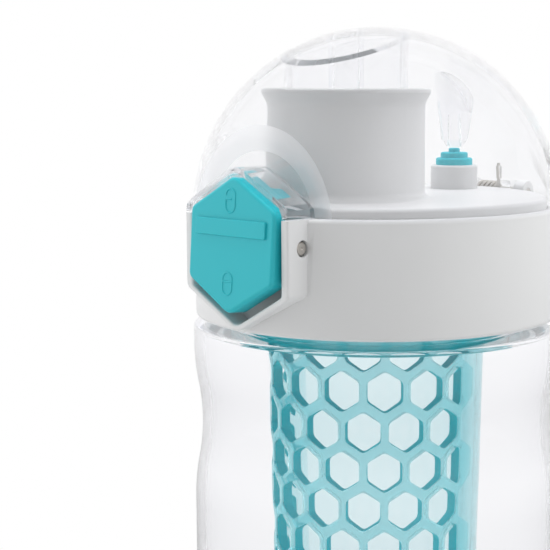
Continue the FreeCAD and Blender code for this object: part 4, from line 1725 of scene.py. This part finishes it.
@dataclass
class FlipLid:
    """Clear domed lid with its scoop, hood, plug tube, posts and hinge knuckles."""

    layout: Layout
    latch: LatchShape
    wall: float = 1.7
    scoop_radius: float = 17.7
    scoop_depth: float = 1.7
    edge_round: float = 0.5
    scoop_edge: float = 6.0
    bevel_inner: float = 13.3
    bevel_outer: float = 18.2
    # Share of the painted-light veil on the scoop's floor; the bevel takes the full mark.
    scoop_floor_painted_light: float = 0.25
    scoop_steps: int = 24
    scoop_chord: float = 0.3
    ball_steps: int = 80
    spout_shift: float = 8.7
    plug_radius: float = 12.1
    plug_wall: float = 1.5
    plug_depth: float = 1.5
    post_radius: float = 3.45
    post_bore: float = 2.3
    vent_shift: float = 25.0
    vent_top: float = 4.4
    vent_radius: float = 2.9
    vent_tip: float = 1.6
    vent_tip_height: float = 1.4
    vent_bore: float = 1.2
    vent_core: float = 7.0
    vent_low: float = 214.4
    keeper_half: float = 4.0
    keeper_reach: float = 2.2
    keeper_lift: float = 1.0
    keeper_height: float = 1.6
    keeper_round: float = 0.3
    barrel_radius: float = 2.8
    knuckle_inner: float = 4.4
    knuckle_outer: float = 7.6
    stop_front: float = 37.05
    stop_low: float = 3.6
    pin_hole: float = 1.25
    segments: int = 192
    post_segments: int = 128
    vent_segments: int = 64
    knuckle_steps: int = 36

    @property
    def radius(self) -> float:
        """Outer radius of the dome."""
        return self.layout.body_radius

    def scoop_floor(self) -> float:
        """Distance of the scoop's floor in front of the axis."""
        return math.sqrt(self.radius**2 - self.scoop_radius**2) - self.scoop_depth

    def half_section(self, ball: float, floor: float, scoop: float, rounding: float) -> list[Point]:
        """Half section of one skin of the dome about its fore-and-aft axis, from the back pole to the scoop.

        Args:
            ball: Radius of the dome's skin.
            floor: Distance of the scoop's skin in front of the dome's centre.
            scoop: Radius of the scoop's skin.
            rounding: Rounding of the edge between them.

        Returns:
            Points as (distance from the axis, distance in front of the centre).
        """
        centre = floor + scoop
        meet = (ball**2 - scoop**2 + centre**2) / (2 * centre)
        edge = math.sqrt(ball**2 - meet**2)
        ball_end = math.degrees(math.atan2(meet, edge))
        scoop_end = math.degrees(math.atan2(meet - centre, edge))
        gap = math.degrees(rounding / 2 / ball)
        dish = math.degrees(rounding / 2 / scoop)
        corners = [(*p, 0) for p in arc((0, 0), ball, -90, ball_end - gap, self.ball_steps)]
        corners.append((edge, meet, rounding))
        corners += [(*p, 0) for p in arc((0, centre), scoop, scoop_end - dish, -90, self.scoop_steps)]
        return rounded(corners, chord=self.scoop_chord)

    def painted_light_at(self, radius: float, front: float) -> float:
        """Mark of the dome's outer skin for a pale diffuse veil of painted light, which stands in for the
        bright surroundings that the clear scoop refracts and mirrors: full on the bevel of the scoop and
        faint on its floor.

        Args:
            radius: Distance from the scoop's axis.
            front: Distance in front of the dome's centre.

        Returns:
            The mark.
        """
        if front < 0 or radius > self.bevel_outer:
            return 0.0
        return 1.0 if radius > self.bevel_inner else self.scoop_floor_painted_light

    def dome(self) -> Form:
        """Dome shell, turned about its fore-and-aft axis and cut at the seam.

        Returns:
            The shell.
        """
        curve = (self.scoop_radius**2 + self.scoop_depth**2) / (2 * self.scoop_depth)
        floor = self.scoop_floor()
        form = Form()
        outer = self.half_section(self.radius, floor, curve, self.scoop_edge)
        # These marks lay the pale veil of painted light over the scoop's bevel and, faintly, its floor.
        marks = [self.painted_light_at((start[0] + end[0]) / 2, end[1]) for start, end in zip(outer, outer[1:])]
        form.turned([(max(r, 0), t) for r, t in outer], self.segments, marks=marks)
        edge = self.scoop_edge - self.wall
        inner = self.half_section(self.radius - self.wall, floor - self.wall, curve + self.wall, edge)
        form.turned([(max(r, 0), t) for r, t in inner], self.segments)
        form.moved(lambda spot: (spot.x, -spot.z, self.layout.dome_z + spot.y))
        return form.above(self.layout.lid_z, rim=True)

    def roofed(self, profile: Sequence[Point], shift: float, segments: int) -> Form:
        """Upright turned post whose topmost rings run up into the dome wall.

        Args:
            profile: Closed section as (radius, height), with its top at the dome's apex.
            shift: Place of the axis along Y.
            segments: Facets round the axis.

        Returns:
            The post.
        """
        apex = self.layout.dome_z + self.radius
        ball = self.radius - self.wall / 2

        def lift(spot: Vector) -> Spot:
            """Drop points at the apex onto the middle of the dome wall.

            Args:
                spot: Point in millimetres.

            Returns:
                The point, dropped where it is at the apex.
            """
            if spot.z < apex - self.wall / 100:
                return tuple(spot)
            return (spot.x, spot.y, self.layout.dome_z + math.sqrt(ball**2 - spot.x**2 - spot.y**2))

        return Form().turned(profile, segments, shift).moved(lift)

    def posts(self) -> list[Form]:
        """Plug tube, stopper post and vent post.

        Returns:
            The three posts.
        """
        apex, end = self.layout.dome_z + self.radius, self.layout.lip_z - self.plug_depth
        tubes = ((self.plug_radius, self.plug_radius - self.plug_wall), (self.post_radius, self.post_bore))
        made = []
        for outer, inner in tubes:
            section = [(inner, end), (outer, end), (outer, apex), (inner, apex)]
            made.append(self.roofed(section, -self.spout_shift, self.post_segments))
        tip = self.vent_low
        vent = [
            (0, tip + self.vent_core),
            (self.vent_bore, tip + self.vent_core),
            (self.vent_bore, tip),
            (self.vent_tip, tip),
            (self.vent_radius, tip + self.vent_tip_height),
            (self.vent_top, apex),
            (0, apex),
        ]
        made.append(self.roofed(vent, self.vent_shift, self.vent_segments))
        return made

    def hood(self) -> Form:
        """Hexagonal hood over the button, open to the front.

        Returns:
            The hood.
        """
        root = -self.scoop_floor() + self.wall / 4
        start, end = at_y(self.latch.housing(), root), at_y(self.latch.cavity(), root)
        loops = [start, *self.latch.nose(self.edge_round), *self.latch.mouth(self.edge_round), end]
        count = max(len(loop) for loop in loops)
        return Form().loft([evened(loop, count) for loop in loops], closed=True).above(self.layout.lid_z)

    def keeper(self) -> Form:
        """Ledge in the scoop that the latch hook catches.

        Returns:
            The ledge.
        """
        floor, low = -self.scoop_floor(), self.layout.seam_z + self.keeper_lift
        outline = rounded([
            (floor - self.keeper_reach, low, self.keeper_round),
            (floor + self.wall / 4, low, 0),
            (floor + self.wall / 4, low + self.keeper_height, 0),
            (floor - self.keeper_reach, low + self.keeper_height, self.keeper_round),
        ])
        return slab_x(outline, -self.keeper_half, self.keeper_half)

    def knuckle(self, start: float) -> Form:
        """Hinge knuckle with the web that ties it to the dome.

        Args:
            start: Place of its left face.

        Returns:
            The knuckle.
        """
        y, z, inner = self.layout.hinge_y, self.layout.hinge_z, self.radius - self.wall
        low = self.layout.lid_z
        first = 180 + math.degrees(math.asin((z - low) / self.barrel_radius))
        barrel = arc((y, z), self.barrel_radius, first, 450, self.knuckle_steps)
        outline = [(inner, low), *barrel, (inner, z + self.barrel_radius)]
        return slab_x(outline, start, start + self.knuckle_outer - self.knuckle_inner)

    def stop(self) -> Form:
        """Stop for the upper leg of the hinge spring.

        Returns:
            The stop.
        """
        low, inner = self.layout.seam_z + self.stop_low, self.radius - self.wall
        high = low + self.barrel_radius
        outline = [(inner, low), (self.stop_front, low), (self.stop_front, high), (inner, high)]
        return slab_x(outline, -self.knuckle_inner, self.knuckle_inner)

    def build(self, finishes: Finishes) -> None:
        """Make the lid.

        Args:
            finishes: Finishes of the bottle.
        """
        lid = self.dome().piece("lid_shell")
        knuckles = [self.knuckle(self.knuckle_inner), self.knuckle(-self.knuckle_outer)]
        carve(lid, [*self.posts(), self.hood(), self.keeper(), *knuckles, self.stop()], Carve.JOIN)
        wide = self.knuckle_outer + self.wall
        hole = cross_bar(self.pin_hole, -wide, wide, self.layout.hinge_y, self.layout.hinge_z)
        carve(lid, [hole], Carve.CUT)
        finishes.settle(lid, "lid_clear", Body.LID, "lid_dome")


@dataclass
class LockSigns:
    """Raised padlock outlines on the button: open above the thumb bar, closed below."""

    layout: Layout
    latch: LatchShape
    half_width: float = 1.25
    body_height: float = 2.5
    shackle_rise: float = 0.4
    line: float = 0.2
    sunk: float = 0.06
    open_rise: float = 8.6
    closed_rise: float = -6.7
    shift: float = -0.4
    open_lift: float = 0.3
    tongue: float = 0.2
    arc_steps: int = 16
    line_sides: int = 10

    def lines(self, middle: float, is_open: bool) -> list[list[Point]]:
        """Centrelines of one sign.

        Args:
            middle: Height of the sign's middle.
            is_open: Whether the shackle is raised on one side.

        Returns:
            Polylines as (across, height).
        """
        half = self.half_width
        lift = self.open_lift if is_open else 0.0
        top = middle - lift / 2
        low = top - self.body_height + half
        tray = [(-half, top), *arc((0, low), half, 180, 360, self.arc_steps), (half, top)]
        bow = [(half, top), *arc((0, top + self.shackle_rise + lift), half, 0, 180, self.arc_steps)]
        if is_open:
            return [tray, bow, [(-half, top), (self.tongue * half, top)]]
        return [tray, [*bow, (-half, top)], [(-half, top), (half, top)]]

    def build(self, finishes: Finishes) -> None:
        """Make both signs.

        Args:
            finishes: Finishes of the bottle.
        """
        signs = (("lock_sign_open", self.open_rise, True), ("lock_sign_closed", self.closed_rise, False))
        for name, rise, is_open in signs:
            form = Form()
            for path in self.lines(self.layout.latch_z + rise, is_open):
                spots = [(x + self.shift, self.latch.face_y(z) + self.sunk, z) for x, z in path]
                form.tube(spots, self.line, self.line_sides)
            finishes.settle(form.piece(name, sharp=60.0), "button_teal", Body.BUTTON)


@dataclass
class RockerSkirt:
    """Skirt of the rocker behind the button's upper edges, which shows through the hood."""

    layout: Layout
    latch: LatchShape
    inset: float = 0.3
    wall: float = 1.2
    front: float = 36.7
    back: float = 31.7
    keeper_back: float = 33.6
    keeper_half: float = 4.6
    foot: float = 8.4
    rounding: float = 0.8
    peak: float = 2.4
    points: int = 120

    def back_at(self, across: float) -> float:
        """Place of the skirt's back edge."""
        return -(self.keeper_back if abs(across) < self.keeper_half else self.back)

    def build(self, finishes: Finishes) -> None:
        """Make the skirt as the upper part of a hexagonal ring that clears the lid's keeper.

        Args:
            finishes: Finishes of the bottle.
        """
        loops = []
        for inset, ends in ((self.inset, (True, False)), (self.inset + self.wall, (False, True))):
            half, high = self.latch.button_half_width - inset, self.latch.button_half_height - inset
            outline = self.latch.outline(half, high, high, self.rounding, self.peak)
            spots = evened(at_y(outline, -self.front), self.points)
            for at_back in ends:
                loops.append([(x, self.back_at(x) if at_back else y, z) for x, y, z in spots])
        form = Form().loft(loops, closed=True).above(self.layout.latch_z + self.foot)
        finishes.settle(form.piece("rocker_skirt"), "button_teal", Body.LATCH)


@dataclass
class Pins:
    """Steel pins of the latch and the lid hinge, and the springs of both."""

    layout: Layout
    latch_radius: float = 1.25
    latch_reach: float = 13.6
    hinge_radius: float = 1.2
    hinge_reach: float = 10.8
    chamfer: float = 0.2
    dimple: float = 0.28
    dimple_depth: float = 0.35
    wire: float = 0.4
    coil_radius: float = 1.95
    coil_pitch: float = 1.25
    coil_turns: int = 5
    leg: float = 6.5
    steps: int = 28
    wire_sides: int = 14
    pin_segments: int = 40
    bow_thickness: float = 0.35
    bow_keep: float = 0.4
    bow_steps: int = 24

    def pin(self, radius: float, reach: float, y: float, z: float) -> Form:
        """Pin along X with chamfered, dimpled ends.

        Args:
            radius: Radius of the pin.
            reach: Half of its length.
            y: Place of its axis along Y.
            z: Height of its axis.

        Returns:
            The pin.
        """
        half = [
            (0, reach - self.dimple_depth),
            (self.dimple, reach),
            (radius - self.chamfer, reach),
            (radius, reach - self.chamfer),
        ]
        profile = [*half, *[(r, -t) for r, t in reversed(half)]]
        form = Form().turned(profile, self.pin_segments)
        return form.moved(lambda spot: (spot.z, spot.x + y, spot.y + z))

    def coil(self) -> list[Spot]:
        """Centreline of the hinge spring, from its lower leg to its upper leg.

        Returns:
            Points of the wire's middle.
        """
        y, z = self.layout.hinge_y, self.layout.hinge_z
        half = self.coil_pitch * self.coil_turns / 2
        front = y - self.coil_radius
        path = [(-half, front, z - self.leg), (-half, front, z - self.leg / 2)]
        for index in range(self.coil_turns * self.steps + 1):
            turn = 2 * math.pi * index / self.steps
            x = self.coil_pitch * index / self.steps - half
            path.append((x, y - self.coil_radius * math.cos(turn), z + self.coil_radius * math.sin(turn)))
        return [*path, (half, front, z + self.leg / 2), (half, front, z + self.leg)]

    def bow(self, low: Vector, high: Vector) -> Form:
        """Bowed strip between the rocker's tail and the thread skirt.

        Args:
            low: Lowest corner of its box.
            high: Highest corner of its box.

        Returns:
            The strip.
        """
        middle = (low.z + high.z) / 2
        sides = []
        for thinner in (0.0, self.bow_thickness):
            half, rise = high.z - middle - thinner, high.y - low.y - thinner
            radius = (half**2 + rise**2) / (2 * rise)
            end = math.degrees(math.asin(half / radius))
            sides.append(arc((low.y + rise - radius, middle), radius, -end, end, self.bow_steps))
        return slab_x([*sides[0], *reversed(sides[1])], low.x, high.x)

    def build(self, finishes: Finishes) -> None:
        """Make the pins and the springs.

        Args:
            finishes: Finishes of the bottle.
        """
        latch = self.pin(self.latch_radius, self.latch_reach, self.layout.latch_y, self.layout.latch_z)
        finishes.settle(latch.piece("latch_pin_turned"), "steel", Body.CAP, "latch_pin")
        hinge = self.pin(self.hinge_radius, self.hinge_reach, self.layout.hinge_y, self.layout.hinge_z)
        finishes.settle(hinge.piece("hinge_pin_turned"), "steel", Body.CAP, "hinge_pin")
        spring = Form().tube(self.coil(), self.wire, self.wire_sides)
        finishes.settle(spring.piece("hinge_spring_wire", sharp=50.0), "steel", Body.CAP, "hinge_spring")
        low, high = low_high("latch_spring")
        bow = finishes.settle(self.bow(low, high).piece("latch_bow"), "steel", Body.CAP, "latch_spring")
        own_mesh(bow)


@dataclass
class CapThread:
    """Thread inside the cap skirt that runs between the turns on the neck."""

    bottle: BottleBody
    bore: float = 31.4
    height: float = 0.9
    width: float = 1.2
    crest_share: float = 0.45
    low: float = 9.3
    turns: float = 1.5
    steps: int = 64
    fade_steps: int = 6
    fade_start: float = 0.05

    def build(self, finishes: Finishes) -> None:
        """Make the thread as one tapered ridge.

        Args:
            finishes: Finishes of the bottle.
        """
        base = self.bottle.shoulder_z + self.low
        count = int(self.turns * self.steps)
        root, half = self.bore + self.height / 4, self.width / 2
        tip = half * self.crest_share
        loops = []
        for index in range(count + 1):
            azimuth = 360 * index / self.steps
            height = base + self.bottle.thread_pitch * azimuth / 360
            fade = min(1.0, min(index, count - index) / self.fade_steps + self.fade_start)
            crest = self.bore - self.height * fade
            section = [(root, half), (crest, tip), (crest, -tip), (root, -half)]
            loops.append([around(radius, azimuth, height + up) for radius, up in section])
        finishes.settle(Form().loft(loops).piece("cap_thread"), "cap_white", Body.CAP)


@dataclass(frozen=True)
class Lamp:
    """Soft square lamp, which doesn't show in reflections or through the bottle.

    Attributes:
        name: Name of the lamp.
        place: Where it hangs.
        size: Length of its side.
        power: Power in watts.
    """

    name: str
    place: Spot
    size: float
    power: float

    def hang(self, aim: Spot) -> None:
        """Put the lamp in the scene.

        Args:
            aim: What it faces.
        """
        data = bpy.data.lights.new(self.name, "AREA")
        data.shape = "SQUARE"
        data.size = self.size * MM
        data.energy = self.power
        made = bpy.data.objects.new(self.name, data)
        bpy.context.scene.collection.objects.link(made)
        made.visible_glossy = made.visible_transmission = False
        made.location = Vector(self.place) * MM
        made.rotation_euler = (Vector(aim) - Vector(self.place)).to_track_quat("-Z", "Y").to_euler()


@dataclass
class Studio:
    """Floor, light and camera.

    Attributes:
        azimuth: Azimuth of the camera, in degrees from the front.
        distance: Distance of the camera from the bottle's axis.
        eye_z: Height of the camera.
        yaw: Turn of the view from the axis, in degrees to the right.
        pitch: Tilt of the view, in degrees upwards.
        roll: Roll of the camera, in degrees.
        lens: Focal length.
        sensor: Width of the camera's sensor.
        near: Distance from which the camera sees.
        ambient: Strength of the fill light from below.
        ambient_share: Share of that strength that comes from above.
        ambient_band: Cosines between which the fill light rises.
        mirror_low: Brightness that is mirrored from below.
        mirror_band: Cosines between which the mirrored brightness rises.
        through_low: Brightness that is seen from below through the bottle.
        through_band: Cosines between which the brightness seen through it rises.
        paper: Tone of the floor.
        floor_radius: Radius of the floor.
        floor_fade: Radius at which the floor starts to fade.
        floor_drop: Depth of the floor under the base, which keeps the two apart.
        floor_sides: Number of the floor's sides.
        bounces: Number of times that light goes on.
        aim: What the lamps face.
        lamps: The lamps.
    """

    azimuth: float = 42.0
    distance: float = 296.0
    eye_z: float = 228.7
    yaw: float = -3.963
    pitch: float = -7.611
    roll: float = -0.355
    lens: float = 95.92
    sensor: float = 36.0
    near: float = 10.0
    ambient: float = 1.1
    ambient_share: float = 0.48
    ambient_band: Point = (-0.2, 0.8)
    mirror_low: float = 0.15
    mirror_band: Point = (-0.45, -0.05)
    through_low: float = 0.95
    through_band: Point = (-0.34, -0.12)
    paper: float = 0.8
    floor_radius: float = 380.0
    floor_fade: float = 150.0
    floor_drop: float = 0.2
    floor_sides: int = 90
    bounces: int = 24
    aim: Spot = (0.0, 0.0, 180.0)
    lamps: tuple[Lamp, ...] = (
        Lamp("left_lamp", place=around(900, -60, 520), size=800.0, power=4.5),
        Lamp("low_lamp", place=around(900, -55, -220), size=700.0, power=2.0),
        Lamp("right_lamp", place=around(900, 125, 600), size=800.0, power=4.0),
        Lamp("top_lamp", place=(0.0, 200.0, 1100.0), size=900.0, power=11.6),
    )

    def camera(self) -> None:
        """Set the camera where the photograph was taken from."""
        data = bpy.data.cameras.new("camera")
        data.lens = self.lens
        data.sensor_fit = "HORIZONTAL"
        data.sensor_width = self.sensor
        data.clip_start = self.near * MM
        made = bpy.data.objects.new("camera", data)
        bpy.context.scene.collection.objects.link(made)
        eye = Vector(around(self.distance, self.azimuth, self.eye_z)) * MM
        heading = math.radians(self.azimuth - self.yaw)
        tilt = math.radians(self.pitch)
        ahead = Vector((-math.sin(heading), math.cos(heading), math.tan(tilt)))
        turn = ahead.to_track_quat("-Z", "Y").to_matrix() @ Matrix.Rotation(math.radians(self.roll), 3, "Z")
        made.matrix_world = Matrix.Translation(eye) @ turn.to_4x4()
        bpy.context.scene.camera = made

    @staticmethod
    def graded(sheet: Sheet, towards: Spot, band: Point, low: float) -> bpy.types.NodeSocket:
        """Brightness of the surroundings that rises to one towards a direction.

        Args:
            sheet: Node tree of the world.
            towards: Direction that it rises to, of length one.
            band: Cosines to the direction at which it starts to rise and reaches one.
            low: Brightness away from the direction.

        Returns:
            The brightness.
        """
        where = sheet.add("ShaderNodeTexCoord").outputs["Generated"]
        facing = sheet.add("ShaderNodeVectorMath", {"operation": "DOT_PRODUCT"})
        sheet.feed(facing.inputs[0], where)
        sheet.feed(facing.inputs[1], towards)
        level = sheet.add(
            "ShaderNodeMapRange", Value=facing.outputs["Value"], From_Min=band[0], From_Max=band[1],
            To_Min=low, To_Max=1.0,
        )
        return level.outputs["Result"]

    def world(self) -> None:
        """White surroundings, darker below where they are mirrored or seen through the bottle."""
        world = bpy.data.worlds.new("studio")
        bpy.context.scene.world = world
        world.use_nodes = True
        sheet = Sheet(world.node_tree)
        path = sheet.add("ShaderNodeLightPath").outputs
        up, down = (0.0, 0.0, 1.0), (0.0, 0.0, -1.0)
        mirrored = self.graded(sheet, up, self.mirror_band, self.mirror_low)
        through = self.graded(sheet, up, self.through_band, self.through_low)
        below = self.graded(sheet, down, self.ambient_band, self.ambient_share)
        fill = sheet.figure("MULTIPLY", below, self.ambient)
        seen = sheet.chosen(path["Is Glossy Ray"], fill, mirrored)
        seen = sheet.chosen(path["Is Transmission Ray"], seen, through)
        seen = sheet.chosen(path["Is Camera Ray"], seen, 1.0)
        scattered = sheet.figure("GREATER_THAN", path["Diffuse Depth"], 0.5)
        strength = sheet.chosen(scattered, seen, fill)
        light = sheet.add("ShaderNodeBackground", Color=(1.0, 1.0, 1.0), Strength=strength)
        sheet.add("ShaderNodeOutputWorld", Surface=light.outputs[0])

    def floor(self) -> None:
        """Pale floor that keeps the shadow and fades into the white surroundings."""
        form = Form()
        sides = self.floor_sides
        edge = [around(self.floor_radius, 360 * k / sides, 0) for k in range(sides)]
        form.band(form.ring([(0, 0, 0)]), form.ring(edge))
        floor = form.piece("floor")
        floor.location.z = -self.floor_drop * MM
        material, sheet = blank_material("floor_paper")
        reach = sheet.add("ShaderNodeVectorMath", {"operation": "LENGTH"})
        sheet.feed(reach.inputs[0], sheet.add("ShaderNodeTexCoord").outputs["Object"])
        fade = sheet.add(
            "ShaderNodeMapRange", {"interpolation_type": "SMOOTHSTEP"}, Value=reach.outputs["Value"],
            From_Min=self.floor_fade * MM, From_Max=self.floor_radius * MM,
        )
        path = sheet.add("ShaderNodeLightPath").outputs
        tone = sheet.chosen(path["Is Glossy Ray"], self.paper, self.paper * self.mirror_low)
        tone = sheet.chosen(path["Is Transmission Ray"], tone, self.paper * self.through_low)
        paper = sheet.add("ShaderNodeBsdfDiffuse", Color=tone)
        gone = sheet.add("ShaderNodeBsdfTransparent")
        faded = sheet.mixed(fade.outputs["Result"], paper.outputs[0], gone.outputs[0])
        sheet.add("ShaderNodeOutputMaterial", Surface=faded)
        floor.data.materials.append(material)

    def build(self) -> None:
        """Set the whole studio."""
        bpy.context.scene.view_settings.view_transform = "Standard"
        self.world()
        self.floor()
        for lamp in self.lamps:
            lamp.hang(self.aim)
        self.camera()
        cycles = bpy.context.scene.cycles
        cycles.max_bounces = cycles.transmission_bounces = cycles.glossy_bounces = self.bounces
        cycles.transparent_max_bounces = self.bounces


def main() -> None:
    """Build and dress the whole bottle."""
    logging.basicConfig(level=logging.INFO, format="%(name)s: %(message)s")
    layout = Layout.read()
    latch = LatchShape(layout)
    finishes = Finishes()
    bottle = BottleBody(layout)
    bottle.build(finishes)
    InfuserBasket(layout).build(finishes)
    CapShell(layout, latch).build(finishes)
    FlipLid(layout, latch).build(finishes)
    LockSigns(layout, latch).build(finishes)
    RockerSkirt(layout, latch).build(finishes)
    Pins(layout).build(finishes)
    CapThread(bottle).build(finishes)
    kept = {
        "neck_gasket": "silicone_clear",
        "cap_deck": "cap_white",
        "vent_seal": "silicone_teal",
        "spout_stopper": "silicone_clear",
        "latch_rocker": "button_teal",
        "lock_button": "button_teal",
    }
    for node, slot in kept.items():
        finishes.carry_over(node, slot)
    Studio().build()


if __name__ == "__main__":
    main()
